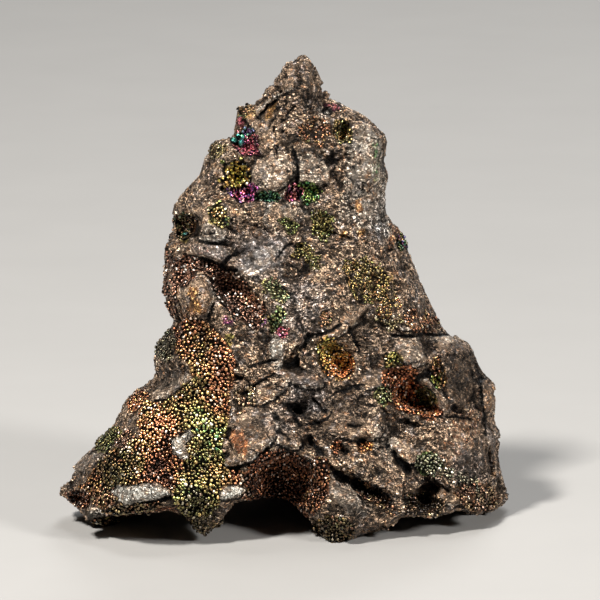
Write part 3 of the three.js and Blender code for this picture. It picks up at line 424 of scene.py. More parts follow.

# Pale rock, and thin painted highlights along some rims and lips: outline and strength.
PALE_AND_RIM_HIGHLIGHTS = [
    ("pale face", 1.0), ("spike's pale face", 1.0), ("pale ridge", 0.8), ("foot plate", 0.25),
    ((-40.6, 1.6, 3.4, 1.8, 0), 0.6), ("left facet", 0.25), ((-1.7, 37.8, 1.8, 3.8, 6), 0.8),
    ((-15.6, 51, 0.6, 1.6, 15), 0.8), ((-8, 13.6, 5.4, 0.7, 32), 0.6), ((1.8, 75.6, 2.4, 0.6, 50), 0.5),
    ((-16.5, 62.9, 3.2, 0.6, -5), 0.7), ("curved plate", 0.35), ((-3.9, 68.7, 0.6, 3.1, -10), 0.6),
    ((8.7, 91.4, 2, 1.4, -20), 0.6), ("diagonal plate", 0.25), ("brow", 0.2),
    ((37.2, 41, 5, 1.1, 0), 0.35), ((22.6, 18, 3.1, 4.5, 0), 0.3), ((14.7, 5, 5.4, 2.7, -40), 0.3),
    ((14.7, 71, 2.7, 5.9, -25), 0.35), ("tongue", 0.2), ((18, 77, 5, 12, 0), 0.4),
    ((21, 71, 4, 8, 20), 0.4), ("right lump", 0.35), ((3, 70, 4, 3, 0), 0.25),
    ((-5, 58, 6, 3, 30), 0.2), ((27, 41, 4, 1.4, 0), 0.3),
]

# Bluish grey rock: outline and strength.
COOL = [
    ((-5, 59.4, 7.2, 5, 30), 0.8), ("slab", 0.6), ((21, 65.3, 2.4, 3.6, 0), 0.9),
    ((3.5, 47.3, 6.8, 7.7, 0), 0.5), ((22, 69.3, 2.2, 4.5, 0), 0.5), ((4.8, 28, 5.4, 5.4, 0), 0.6),
    ((41.7, 11.3, 5, 5.4, -30), 0.4), ((-12.7, 60.8, 6.8, 3.6, 0), 0.6), ((-1, 22.5, 4.5, 4.5, 0), 0.4),
    ("lower pillow", 0.6),
]

# Rock that is darker or lighter than the rest: outline, share of the usual tone, and edge. Part of
# it is the rock's own tone and part is painted light: painted shade in holes, slots, low parts and on
# the right side, and painted light on the flange and on a lip.
TONES_AND_PAINTED_LIGHT = [
    ((40.6, 32.6, 6, 7, 0), 0.30, 4), ((9, 25, 7, 5.5, 0), 0.66, 4), ((18, 2.3, 6, 5, 0), 0.75, 4),
    ((11.6, -1.5, 4, 3, 0), 0.5, 4), ((17.7, 77.6, 4.5, 7, 0), 1.4, 4), ((4, 98.5, 5, 5, 0), 0.8, 3),
    ((6.2, 93, 3.2, 1.6, -10), 0.55, 1.5), ((-30, 23, 5, 5, 0), 1.8, 3), ((-14.3, 34, 3, 6, 0), 1.2, 3),
    ((-22.4, 54, 3.5, 5, 0), 1.7, 4), ((17.4, 66.4, 6, 6, 0), 1.1, 4),
    ((-5, 59.6, 6, 4.5, 20), 1.35, 4), ((-6.5, 19, 6, 7, 0), 1.35, 4), ((1.2, 85, 7, 6, 0), 1.05, 4),
    ((-43.5, 13, 3, 3, 30), 0.8, 4), ((-37, 12, 5, 3.5, 20), 0.34, 4),
    ((-19.5, 4.5, 4, 3.5, 0), 0.32, 4), ((-19, 39, 4, 3, 0), 0.85, 4), ((0, 48, 6, 6, 0), 1.15, 4),
    ((-44, 7, 5, 4, 20), 0.85, 3), ((-26.5, 39.5, 3, 4, -20), 0.65, 2), ((-16.5, 20, 4, 5, 0), 1.15, 3),
    ((-2.3, 78, 3.4, 4.6, 0), 1.3, 3), ((22.6, 17, 5, 4.5, 0), 1.5, 4), ((-17, 76, 4, 5, 0), 1.2, 3),
    ((-25, 11, 4, 2.5, 0), 1.1, 3), ("peak wedge", 0.8, 1.0), ("wide slot", 0.12, 0.8),
    ("low hollow", 0.2, 0.9), ("foot hollow", 0.15, 0.8), ("triangle", 0.12, 0.8),
    ("orange hole", 0.4, 0.8), ("red hole", 0.4, 0.8), ((-8, 13, 6, 1.2, 28), 1.3, 0.8),
]

# The film's colours as it thickens, in linear light.
FILM = [
    (0.00, (0.022, 0.014, 0.010)),
    (0.15, (0.110, 0.038, 0.020)),
    (0.28, (0.340, 0.120, 0.045)),
    (0.42, (0.290, 0.190, 0.055)),
    (0.55, (0.220, 0.215, 0.055)),
    (0.68, (0.060, 0.180, 0.050)),
    (0.78, (0.030, 0.170, 0.140)),
    (0.86, (0.110, 0.090, 0.260)),
    (0.93, (0.320, 0.055, 0.180)),
    (1.00, (0.380, 0.100, 0.090)),
]

# How the outlines of each table are shaken: a seed, and how far. Each shake is made of noises:
# their width, their step from the seed, and their share of the way.
FORM_SHAKE = (11, 0.22)
GROOVE_SHAKE = (17, 0.7)
CALM_SHAKE = (23, 0.3)
TONE_SHAKE = (29, 0.6)
BED_SHAKE = (41, 0.8)
FILM_SHAKE = (83, 0.7)
SHAKE_NOISES = [(3.0, 0, 1.0), (1.1, 7, 0.6)]

# The soft edges of shapes: how wide, and the share of the edge that lies outside the outline.
CALM_EDGE = (1.5, 0.0)
GROOVE_EDGE = (1.5, 0.5)
BED_EDGE = (0.6, 0.5)
PALE_EDGE = (0.7, 0.3)
COOL_EDGE = (3.0, 0.3)
TONE_LEAD = 0.6

# How calm the rock is on a plate, as the places in CALM are.
PLATE_CALM = 0.7

# How the small forms swell: the height of a leaning plate at its foot and how much it gains, and
# how much wider than its table says a crack or ridge is where it meets the rock.
LEAN_FOOT = 0.15
LEAN_GAIN = 0.95
CRACK_FLARE = 1.15
RIDGE_FLARE = 1.6

# The painted shadow lines and painted highlight rims along the forms, and their half widths: in
# millimetres for plates and hollows, and as a share of their own half width for cracks and ridges.
FAR_FROM_LINE = 4.0
PLATE_LINE = 0.26
LEVEL_PLATE_LINE = 0.2
LEAN_LINE_GAIN = 1.6
LEAN_LINE_START = 0.4
FAINTEST_LINE = 0.02
LIGHT_INSIDE = 0.28
DARK_OUTSIDE = 0.22
HOLLOW_LINE = 0.16
HOLLOW_LINE_INSIDE = 0.2
CRACK_LINE = 0.55
RIDGE_LINE = 0.8

# The shares of a groove's width over which it rises and falls, and the patches that grooves come
# in (width and seed). The ends of rings fade over so many degrees, and the first and last rings
# over so many millimetres.
SAW_RISE = 0.8
SAW_FALL = 0.2
GROOVE_PATCHES = (3.5, 18)
RING_END = 15
RING_START_EDGE = 0.8
RING_LAST_EDGE = 1.5

# The grain of the broken rock: its turn, how it is squeezed, and how it wanders (the width of
# the humps, the first of three seeds, and how far).
GRAIN_TURN = math.radians(-38)
GRAIN_SQUEEZE = np.array((0.62, 1.0, 1.15))
GRAIN_WARPS = [(5.0, 60, 1.5), (1.8, 63, 0.35)]

# Flakes of broken rock: width, seed, slant, height, and the share that smooth ground keeps.
FLAKES = [(7.0, 3, 3.0, 0.30, 0.0), (3.1, 4, 2.0, 0.14, 0.0), (1.3, 6, 1.6, 0.07, 0.3)]

# Ridges between the flakes: width, seed and height. They rise where the noise is below a level.
FOLDS = (4.0, 71, 0.15)
FOLD_LEVEL = 0.4

# Grains of rock: width, seed and height. Smooth ground keeps a share of them.
GRAINS = [(1.2, 72, 0.05), (0.6, 73, 0.10)]
GRAINS_KEPT = 0.35

# Lumps under the crust: width, seed and height. They rise where the noise is far from its middle,
# and most of the broken rock is lost there.
LUMPS = (3.4, 74, 1.5)
LUMP_LEVEL = 0.4
BREAK_LOST_IN_BEDS = 0.75

# The patches of crust and of film on the back: width and seed.
BACK_PATCHES = (13.0, 93)
BACK_FILM = (20.0, 94)

# The film on the rock: its slow drift, its thin clouds and its jitter (width and seed), how softly
# the spots of the broad field blend, how thickly it lies under the beads and on the back, and how
# far past an outline it begins and over what width.
FILM_DRIFT = (9.0, 91)
FILM_CLOUDS = (6.0, 92)
FILM_JITTER = (2.0, 95)
FIELD_BLEND = 0.3
COAT_UNDER_BEADS = 0.85
COAT_BEHIND = 0.7
COAT_START = 0.9
COAT_EDGE = 1.3

# From where to where a face counts as turned to the front, as the cosine of its turn.
FRONT_TURN = (0.02, 0.30)
WIDE_FRONT_TURN = (-0.10, 0.15)

# How many times the rock is evened out to find which way its ground faces, finely or widely, and
# how far a spot stands out of it. Cavities and hollows are that height times a strength; the rock's
# colour is darkened in them as painted shade.
FACING_ROUNDS = 4
LIFT_ROUNDS = 3
SPOT_ROUNDS = 2
GROUND_ROUNDS = 30
RISE_ROUNDS = 20
RISE_FACING_ROUNDS = 6
CREVICE_SHADE_RISE = (6, 1.6)
HOLLOW_SHADE_RISE = (60, 0.45)

# Candidates for beads on each square millimetre, and the least distance of two beads, in mean
# radii. The cells of the grid that finds a bead's neighbours are wider than that.
CANDIDATES_PER_MM2 = 16.0
CLOSENESS = 1.36
GRID_CELL = 2.0
GRID_STEPS = list(itertools.product((-1, 0, 1), repeat=3))

# Which beads are kept: those whose own spot and whose wider ground are turned enough to the
# camera (or, at the back, away from it), off bare rock, with a ragged edge to each bed. The gaps
# in thin beds and the stray of the film are noises (width and seed), and so are the shades of the
# beads (width, seed and strength).
SPOT_TURN = -0.15
GROUND_TURN = -0.2
BACK_TURN = -0.5
BARE_GROUND = 0.8
BED_FADE = 1.3
BED_OVERLAP = 0.3
BED_GAPS = (2.4, 48)
FILM_STRAY = (3.0, 47)
SHADES = [(4.0, 49, 0.6), (1.6, 50, 0.35)]
SHADE_RANGE = (0.35, 1.6)
# How far beads low in the valleys between lumps are darkened, and those on top lightened: painted
# shade.
VALLEY_SHADE_RANGE = (0.35, 1.5)
RADIUS_SPREAD = 0.17
RADIUS_RANGE = (-1.6, 1.8)
BACK_LOWEST = 2
BACK_RADIUS = 0.5
BACK_VIVID = 0.8

# A bead's own form, in radii: how its three sides vary, how deep its dent is, how far its middle
# stands out of the rock, where its buried part is cut away, and the point that closes it. The
# film's place on its scale slides a little across a bead.
BEAD_STRETCH = np.array((0.30, 0.18, 0.15))
DENT_DEPTH = 0.25
STANDING_OUT = 0.25
BURIED_BELOW = -0.3
BEAD_ROOT = -0.6
FILM_SLIDE = 0.035

# The rock's swirls, and the chips of its fine relief: how they are stretched and shaken, and how
# their chance is drawn from their colour.
SWIRL_SIZE = 9.0
SWIRL_REACH = 3.0
CHIP_STRETCH = 0.6
CHIP_SHAKE = 0.7
CHIP_CHANCE = (0.7, 0.3, 0)

# The ore's cloudy noises: width, detail and roughness.
SPECKS = (0.29, 2.0, 0.6)
GAPS = (2.2, 5.0, 0.7)
PITS = (0.8, 3.0, 0.6)
STREAKS = (0.85, 4.0, 0.62)

# The ore's flat chips, and its winding lines: distance, stretch and width.
CHIP_SIZE = 1.5
GRAIN_SIZE = 0.39
FINE_LINES = [(0.9, 0.4, 0.05), (0.8, 1.0, 0.035)]
FISSURES = (5.0, 0.55, 0.02)

# How pale the painted highlights along the rims are, how strong the film's colour is, how rough the
# smoothest ground stays, and how much the rock is lightened to make up for its dark detail.
RIM_HIGHLIGHT_PALENESS = 0.4
FILM_STRENGTH = 0.8
LEAST_ROUGH = 0.72
DETAIL_LIFT = 1.2

# The colour sockets of a Mix node, whose names it shares with other sockets.
MIX_FIRST = 6
MIX_SECOND = 7
MIX_RESULT = 2

# Colours in linear light.
BROWN = (0.206, 0.149, 0.105)
WARM = (0.272, 0.187, 0.124)
BLUISH = (0.190, 0.185, 0.190)
RUST = (0.330, 0.160, 0.075)
PALE_GREY = (0.390, 0.375, 0.330)
# A pale grey that a few beads are greyed towards as painted glints.
PALE_GLINT_BEAD = (0.30, 0.26, 0.22)
DULL_BEAD = (1.15, 0.95, 0.75)
FLOOR_PAPER = (0.34, 0.335, 0.325)
SKY = (0.9, 0.93, 1.0, 1)
SKY_STRENGTH = 0.02

# Lamps: name, place and size in metres, watts, and colour.
LAMPS = [
    ("key", (-0.50, -0.70, 1.05), 0.16, 32.0, (1.0, 0.96, 0.91)),
    ("side", (0.85, -0.70, 0.60), 0.20, 13.0, (1.0, 0.97, 0.94)),
    ("top", (0.05, 0.30, 1.10), 0.35, 4.0, (1, 1, 1)),
    ("back", (0.25, 1.05, 0.85), 0.40, 6.0, (1, 1, 1)),
]
LAMP_AIM = Vector((0, 0, 0.05))

# The floor and the camera, in metres: half the floor's side, how far off the camera is, what it
# looks at, how wide the frame is there, and how far it sees.
FLOOR_HALF = 4.0
CAMERA_DISTANCE = 1.5
CAMERA_AIM = Vector((0.0035, 0.0, 0.0506))
FRAME_WIDTH = 0.1348
CAMERA_CLIP = 20
SENSOR_WIDTH_MM = 36

# The noise reads tables of random numbers, as many as a power of two. The beads draw from the
# same source after them.
TABLE_LENGTH = 256
LAST_ENTRY = TABLE_LENGTH - 1
NOISE_GAIN = 1.7
FLAKE_SHAKE = 0.42
RANDOM = np.random.default_rng(31)
SHUFFLE = RANDOM.permutation(TABLE_LENGTH)
SLOPES = RANDOM.normal(size=(TABLE_LENGTH, 3))
SLOPES /= np.linalg.norm(SLOPES, axis=1)[:, None]
CHANCES = RANDOM.uniform(-1, 1, (TABLE_LENGTH, 7))


# ---------------------------------------------------------------- fields

def ease(value):
    """A smooth step from 0 to 1 as the value goes from 0 to 1."""
    value = np.clip(value, 0, 1)
    return value * value * (3 - 2 * value)


def dots(one, two):
    """The dot product of each row of one array with the same row of the other."""
    return np.einsum("ij,ij->i", one, two)


def units(vectors):
    """The vectors, each made one long."""
    return vectors / np.linalg.norm(vectors, axis=1)[:, None]


def scramble(cells, seed):
    """An entry of the tables for each whole cell, the same each time."""
    first = SHUFFLE[(cells[:, 0] + seed) & LAST_ENTRY]
    second = SHUFFLE[(first + cells[:, 1]) & LAST_ENTRY]
    return SHUFFLE[(second + cells[:, 2]) & LAST_ENTRY]


def noise(points, size, seed):
    """Smooth noise, from about -1 to 1, whose humps are `size` millimetres wide."""
    scaled = points / size
    cells = np.floor(scaled).astype(np.int64)
    within = scaled - cells
    share = within ** 3 * (within * (within * 6 - 15) + 10)
    total = np.zeros(len(points))
    for corner in np.ndindex(2, 2, 2):
        corner = np.array(corner)
        weight = np.prod(np.where(corner == 1, share, 1 - share), axis=1)
        slope = SLOPES[scramble(cells + corner, seed)]
        total += weight * dots(slope, within - corner)
    return total * NOISE_GAIN


def flakes(points, size, seed, tilt):
    """Flat flakes about `size` wide that meet in steps, each at its own height and slant."""
    scaled = points / size
    cells = np.floor(scaled).astype(np.int64)
    nearest = np.full(len(points), np.inf)
    height = np.zeros(len(points))
    for corner in np.ndindex(3, 3, 3):
        cell = cells + np.array(corner) - 1
        chance = CHANCES[scramble(cell, seed)]
        away = scaled - (cell + 0.5 + FLAKE_SHAKE * chance[:, :3])
        distance = dots(away, away)
        closer = distance < nearest
        nearest[closer] = distance[closer]
        height[closer] = (chance[:, 6] + tilt * dots(away, chance[:, 3:6]))[closer]
    return height


def front_plane(points):
    """The two measures of the front, across and up, of each point."""
    return np.stack([points[:, 0], points @ UPWARD], axis=1)


def ragged(points, shake):
    """The front's two measures, shaken so that what is drawn with them has ragged edges."""
    seed, far = shake
    plane = front_plane(points)
    flat = np.column_stack((plane, np.zeros(len(plane))))
    for column in (0, 1):
        for size, step, share in SHAKE_NOISES:
            plane[:, column] += far * share * noise(flat, size, seed + step + column)
    return plane


def outline_of(shape):
    """The points round a named shape, or round an oval."""
    if isinstance(shape, str):
        return np.array(SHAPES[shape], float)
    across, up, half_width, half_height, turn = shape
    angles = np.linspace(0, 2 * math.pi, OVAL_POINTS, endpoint=False)
    along = half_width * np.cos(angles)
    beside = half_height * np.sin(angles)
    turn = math.radians(turn)
    return np.stack([
        across + along * math.cos(turn) - beside * math.sin(turn),
        up + along * math.sin(turn) + beside * math.cos(turn),
    ], axis=1)


def stretch_distance(plane, start, end):
    """How far each point is from a straight stretch."""
    step = end - start
    share = np.clip((plane - start) @ step / (step @ step), 0, 1)
    away = plane - start - share[:, None] * step
    return np.hypot(away[:, 0], away[:, 1])


def route_distance(plane, route):
    """How far each point is from a route of straight stretches."""
    corners = [np.array(corner, float) for corner in route]
    stretches = zip(corners, corners[1:])
    return np.min([stretch_distance(plane, start, end) for start, end in stretches], axis=0)


def depth_inside(plane, shape):
    """How far inside a shape's outline each point is, and less than 0 outside it."""
    outline = outline_of(shape)
    near = (plane > outline.min(axis=0) - NEARBY) & (plane < outline.max(axis=0) + NEARBY)
    near = near.all(axis=1)
    spots = plane[near]
    nearest = np.full(len(spots), np.inf)
    within = np.zeros(len(spots), bool)
    for start, end in zip(outline, np.roll(outline, -1, axis=0)):
        nearest = np.minimum(nearest, stretch_distance(spots, start, end))
        crosses = (start[1] > spots[:, 1]) != (end[1] > spots[:, 1])
        slope = (end[0] - start[0]) / (end[1] - start[1] or 1)
        within ^= crosses & (spots[:, 0] < start[0] + (spots[:, 1] - start[1]) * slope)
    depth = np.full(len(plane), -NEARBY)
    depth[near] = np.where(within, nearest, -nearest)
    return depth


def inside(plane, shape, edge, lead=0.0):
    """How surely each point is inside a shape, from 0 to 1 over the width of its edge."""
    return ease(depth_inside(plane, shape) / edge + lead)


def strongest(plane, table, soft):
    """The greatest strength of a table's shapes at each point."""
    total = np.zeros(len(plane))
    for shape, strength in table:
        total = np.maximum(total, strength * inside(plane, shape, *soft))
    return total


def along_shape(plane, shape, way):
    """How far along a shape each point is, towards one way, from 0 to 1."""
    direction = np.array((math.cos(math.radians(way)), math.sin(math.radians(way))))
    ends = outline_of(shape) @ direction
    return np.clip((plane @ direction - ends.min()) / (ends.max() - ends.min()), 0, 1)


# ---------------------------------------------------------------- meshes

class Surface:
    """A mesh as arrays, with its points in millimetres."""

    def __init__(self, mesh):
        self.mesh = mesh
        self.points = self.read(mesh.vertices, "co", 3, np.float32) / MM
        self.edges = self.read(mesh.edges, "vertices", 2, np.int32)
        mesh.calc_loop_triangles()
        self.triangles = self.read(mesh.loop_triangles, "vertices", 3, np.int32)

    @staticmethod
    def read(source, name, width, kind):
        """One property of all of a mesh's points, edges or triangles."""
        values = np.empty(len(source) * width, kind)
        source.foreach_get(name, values)
        if kind is np.float32:
            values = values.astype(np.float64)
        return values.reshape(-1, width)

    def corners(self):
        """The first, second and third corners of the triangles."""
        return [self.points[corner] for corner in self.triangles.T]

    def normals(self):
        """The direction that each point faces."""
        a, b, c = self.corners()
        facing = np.cross(b - a, c - a)
        total = np.zeros_like(self.points)
        for corner in self.triangles.T:
            for axis in range(3):
                total[:, axis] += np.bincount(corner, facing[:, axis], len(self.points))
        return total / np.maximum(np.linalg.norm(total, axis=1), TINY)[:, None]

    def smoothed(self, values, rounds):
        """The values, each evened out with its neighbours' a number of times."""
        one, two = self.edges.T
        count = len(self.points)
        neighbours = np.bincount(one, minlength=count) + np.bincount(two, minlength=count)
        neighbours = np.maximum(neighbours, 1)
        values = values.reshape(count, -1)
        for _ in range(rounds):
            columns = [
                np.bincount(one, column[two], count) + np.bincount(two, column[one], count)
                for column in values.T
            ]
            values = (values + np.stack(columns, axis=1) / neighbours[:, None]) / 2
        return values

    def rise(self, rounds, normals):
        """How far each point stands out from the surface as it is when evened out."""
        return dots(self.points - self.smoothed(self.points, rounds), normals)

    def write(self):
        """Puts the points back in the mesh."""
        self.mesh.vertices.foreach_set("co", (self.points * MM).astype(np.float32).ravel())
        self.mesh.update()


def store(mesh, **attributes):
    """Keeps numbers for each point in the mesh, for the materials."""
    for name, values in attributes.items():
        layer = mesh.attributes.new(name, "FLOAT", "POINT")
        layer.data.foreach_set("value", values.astype(np.float32))


def linked(name, data):
    """A new object in the scene."""
    thing = bpy.data.objects.new(name, data)
    bpy.context.collection.objects.link(thing)
    return thing


def modified(mesh, kind, **settings):
    """A new mesh: the old one with one modifier applied."""
    piece = linked("work", mesh)
    modifier = piece.modifiers.new("work", kind)
    for name, value in settings.items():
        setattr(modifier, name, value)
    graph = bpy.context.evaluated_depsgraph_get()
    result = bpy.data.meshes.new_from_object(piece.evaluated_get(graph))
    bpy.data.objects.remove(piece)
    bpy.data.meshes.remove(mesh)
    return result


def remeshed(mesh, cell):
    """The mesh made again from even cells."""
    return modified(mesh, "REMESH", mode="VOXEL", voxel_size=cell * MM, use_smooth_shade=True)


def decimated(mesh, most):
    """The mesh with at most so many triangles."""
    mesh.calc_loop_triangles()
    ratio = min(1, most / len(mesh.loop_triangles))
    return modified(mesh, "DECIMATE", ratio=ratio, use_collapse_triangulate=True)


def placed(name, mesh, sharp=math.pi):
    """A new object at the origin, shaded smooth but for edges that are sharper than an angle."""
    mesh.name = name
    mesh.shade_smooth()
    if sharp < math.pi:
        mesh.set_sharp_from_angle(angle=sharp)
    return linked(name, mesh)


# ---------------------------------------------------------------- the rock

def facing_front(surface, turn=FRONT_TURN):
    """How much each point looks towards the front, from 0 to 1."""
    low, high = turn
    normals = surface.smoothed(surface.normals(), FACING_ROUNDS)
    return ease((normals @ SIGHT - low) / (high - low))


def front_relief(points):
    """How far the small forms of the front stand out, or in, at each point."""
    plane = ragged(points, FORM_SHAKE)
    out = np.zeros(len(points))
    for shape, height, edge, lean in PLATES:
        rise = height * inside(plane, shape, edge)
        if lean is not None:
            rise *= LEAN_FOOT + LEAN_GAIN * along_shape(plane, shape, lean)
        out += rise
    for shape, depth, wall in HOLLOWS:
        out -= depth * inside(plane, shape, wall)
    for route, half_width, depth in CRACKS:
        out -= depth * ease(1 - route_distance(plane, route) / (half_width * CRACK_FLARE))
    for route, half_width, height in RIDGES:
        out += height * ease(1 - route_distance(plane, route) / (half_width * RIDGE_FLARE))
    return out


def shadow_and_highlight_lines(points):
    """How far each point is from a painted shadow line and a painted highlight rim, in half widths of
    the line.
    """
    plane = ragged(points, FORM_SHAKE)
    gap = np.full(len(points), FAR_FROM_LINE)
    rim = np.full(len(points), FAR_FROM_LINE)
    for shape, _, _, lean in PLATES:
        depth = depth_inside(plane, shape)
        share = LEVEL_PLATE_LINE
        if lean is not None:
            share = ease(along_shape(plane, shape, lean) * LEAN_LINE_GAIN - LEAN_LINE_START)
        width = PLATE_LINE * np.maximum(share, FAINTEST_LINE)
        # A painted highlight just inside each plate's edge, and a painted shadow just outside it.
        rim = np.minimum(rim, np.abs(depth - LIGHT_INSIDE) / width)
        gap = np.minimum(gap, np.abs(depth + DARK_OUTSIDE) / width)
    # Painted shade inside the edge of each hollow and along each crack, and a painted highlight along
    # each ridge.
    for shape, *_ in HOLLOWS:
        away = np.abs(depth_inside(plane, shape) - HOLLOW_LINE_INSIDE)
        gap = np.minimum(gap, away / HOLLOW_LINE)
    for route, half_width, _ in CRACKS:
        gap = np.minimum(gap, route_distance(plane, route) / (CRACK_LINE * half_width))
    for route, half_width, _ in RIDGES:
        rim = np.minimum(rim, route_distance(plane, route) / (RIDGE_LINE * half_width))
    return gap, rim


def tone_and_painted_light(points):
    """How light the rock is at each point, with painted shade and light in places: 1 for its usual
    tone.
    """
    plane = ragged(points, TONE_SHAKE)
    tone = np.ones(len(points))
    for shape, share, edge in TONES_AND_PAINTED_LIGHT:
        tone *= 1 + (share - 1) * inside(plane, shape, edge, TONE_LEAD)
    return tone


def sawtooth(value):
    """A wave that climbs slowly from -1 to 1 and falls back at once."""
    share = value - np.floor(value)
    rising = share / (SAW_RISE / 2) - 1
    falling = 1 - (share - SAW_RISE) / (SAW_FALL / 2)
    return np.where(share < SAW_RISE, rising, falling)


def grooved(points):
    """How far the sets of fine grooves and rings lift the rock at each point."""
    plane = ragged(points, GROOVE_SHAKE)
    patches = ease(0.5 + 1.5 * noise(points, *GROOVE_PATCHES))
    lift = 0
    for shape, turn, distance, depth in GROOVES:
        turn = math.radians(turn)
        across = plane @ np.array((math.sin(turn), -math.cos(turn)))
        there = patches * inside(plane, shape, *GROOVE_EDGE)
        lift += sawtooth(across / distance) * there * depth
    for middle, inner, outer, first, last, distance, depth in RINGS:
        away = plane - np.array(middle)
        radius = np.hypot(away[:, 0], away[:, 1])
        angle = (np.degrees(np.arctan2(away[:, 1], away[:, 0])) - first) % 360
        there = patches * ease((radius - inner) / RING_START_EDGE)
        there = there * ease((outer - radius) / RING_LAST_EDGE)
        there *= ease(angle / RING_END) * ease((last - first - angle) / RING_END)
        lift += sawtooth(radius / distance) * there * depth
    return lift


def calmness(points):
    """How smooth the rock is at each point, from 0 to 1."""
    plane = ragged(points, CALM_SHAKE)
    calm = strongest(plane, CALM, CALM_EDGE)
    for shape, _, edge, _ in PLATES:
        calm = np.maximum(calm, PLATE_CALM * inside(plane, shape, edge))
    return calm


def bareness(plane):
    """How surely a place is kept free of beads, from 0 to 1."""
    return np.max([inside(plane, shape, *BED_EDGE) for shape in BARE], axis=0)


def bedding(points, facing):
    """How much each point lies in a bed of beads, from 0 to 1."""
    plane = ragged(points, BED_SHAKE)
    covers = [(bed.shape, bed.cover) for beds in BEDS.values() for bed in beds]
    return strongest(plane, covers, BED_EDGE) * facing * (1 - bareness(plane))


def brokenness(points, calm, beds):
    """How far flakes, ridges, grains and lumps lift the rock at each point."""
    turn = np.array(Matrix.Rotation(GRAIN_TURN, 3, Vector(SIGHT)))
    grain = points @ turn * GRAIN_SQUEEZE
    for size, seed, far in GRAIN_WARPS:
        grain = grain + far * np.stack([noise(points, size, seed + k) for k in range(3)], axis=1)
    rough = 1 - calm
    bare = 1 - BREAK_LOST_IN_BEDS * beds
    lift = 0
    for size, seed, slant, height, kept in FLAKES:
        lift += height * flakes(grain, size, seed, slant) * (kept + (1 - kept) * rough) * bare
    size, seed, height = FOLDS
    lift += height * (FOLD_LEVEL - np.abs(noise(points, size, seed))) * rough * bare
    for size, seed, height in GRAINS:
        lift += height * noise(points, size, seed) * (GRAINS_KEPT + (1 - GRAINS_KEPT) * rough)
    size, seed, height = LUMPS
    lift += height * (np.abs(noise(points, size, seed)) - LUMP_LEVEL) * beds
    return lift


def rim_samples():
    """Points all round the rim, and the outward direction at each."""
    corners = np.array(RIM, float)
    spots = []
    for start, end in zip(corners, np.roll(corners, -1, axis=0)):
        count = max(1, round(np.linalg.norm(end - start) / RIM_STEP))
        spots += [start + (end - start) * k / count for k in range(count)]
    spots = np.array(spots)
    ahead = units(np.roll(spots, -RIM_EVENING, axis=0) - np.roll(spots, RIM_EVENING, axis=0))
    return spots, np.stack([-ahead[:, 1], ahead[:, 0]], axis=1)


def even_round(values):
    """Values round a loop, each evened out with those near it."""
    weights = np.hanning(2 * RIM_EVENING + 3)[1:-1]
    shifted = [w * np.roll(values, k - RIM_EVENING) for k, w in enumerate(weights)]
    return sum(shifted) / weights.sum()


def fitted_to_rim(points):
    """The points, moved so that the outline seen from the front is the rim."""
    spots, outward = rim_samples()
    plane = front_plane(points)
    tree = KDTree(len(spots))
    for index, spot in enumerate(spots):
        tree.insert((*spot, 0), index)
    tree.balance()
    nearest = np.array([tree.find((across, up, 0))[1] for across, up in plane])
    past = dots(plane - spots[nearest], outward[nearest])
    reach = np.full(len(spots), -RIM_LIMIT)
    np.maximum.at(reach, nearest, past)
    shift = -even_round(np.clip(reach, -RIM_LIMIT, RIM_LIMIT))
    amount = shift[nearest] * ease(1 - (reach[nearest] - past) / RIM_FALLOFF)
    step = outward[nearest] * amount[:, None]
    return points + step[:, :1] * np.array((1.0, 0, 0)) + step[:, 1:] * UPWARD


def field_film(plane):
    """The film's place on its scale all over the broad field of beads."""
    total = np.zeros(len(plane))
    weights = np.zeros(len(plane))
    for across, up, film in FIELD_FILM:
        away = FIELD_BLEND + (plane[:, 0] - across) ** 2 + (plane[:, 1] - up) ** 2
        weight = 1 / away ** 2
        total += weight * film
        weights += weight
    return total / weights


def film_on_rock(points, facing):
    """Where on the film's scale the rock lies at each point, and how thickly it is coated."""
    plane = ragged(points, FILM_SHAKE)
    behind = 1 - facing
    film = 0.30 + 0.14 * noise(points, *FILM_DRIFT)
    film += behind * 0.18 * noise(points, *BACK_FILM)
    coat = 0.10 * ease(noise(points, *FILM_CLOUDS) * 2)
    patch = ease((noise(points, *BACK_PATCHES) - 0.05) / 0.3)
    coat = np.maximum(coat, behind * COAT_BEHIND * patch)
    patches = [(shape, place, 0.0, amount) for shape, place, amount in TINTS]
    for bed in itertools.chain(*BEDS.values()):
        patches.append((bed.shape, bed.film, bed.spread, COAT_UNDER_BEADS * bed.cover))
    jitter = noise(points, *FILM_JITTER)
    field = field_film(plane)
    bare = facing * (1 - bareness(plane))
    for shape, place, spread, amount in patches:
        share = bare * amount * ease((depth_inside(plane, shape) + COAT_START) / COAT_EDGE)
        wins = share > coat
        place = field if place is None else place
        film[wins] = (place + spread * jitter)[wins]
        coat[wins] = share[wins]
    return np.clip(film, 0, 1), coat


def first_form(solid):
    """The solid made again from fine cells and rounded, with the small forms of its front."""
    surface = Surface(remeshed(solid.data.copy(), FIRST_CELL))
    surface.points = surface.smoothed(surface.points, ROUNDING)
    out = front_relief(surface.points) * facing_front(surface)
    surface.points += out[:, None] * SIGHT
    surface.write()
    return surface.mesh


def broken_form(mesh):
    """The mesh broken up into flakes and grains, with the rim it has from the front."""
    surface = Surface(remeshed(mesh, LAST_CELL))
    surface.points = surface.smoothed(surface.points, 1)
    facing = facing_front(surface)
    calm = calmness(surface.points) * facing
    beds = bedding(surface.points, facing)
    lift = brokenness(surface.points, calm, beds) + grooved(surface.points) * facing
    surface.points += lift[:, None] * surface.smoothed(surface.normals(), LIFT_ROUNDS)
    surface.points = fitted_to_rim(surface.points)
    surface.points[:, 2] = np.maximum(surface.points[:, 2], 0)
    surface.write()
    return surface.mesh


def sunk(surface, kind):
    """How far each point stands out of its ground (above 0.5) or is sunk in it (below)."""
    rounds, strength = kind
    return np.clip(0.5 + strength * surface.rise(rounds, surface.normals()), 0, 1)


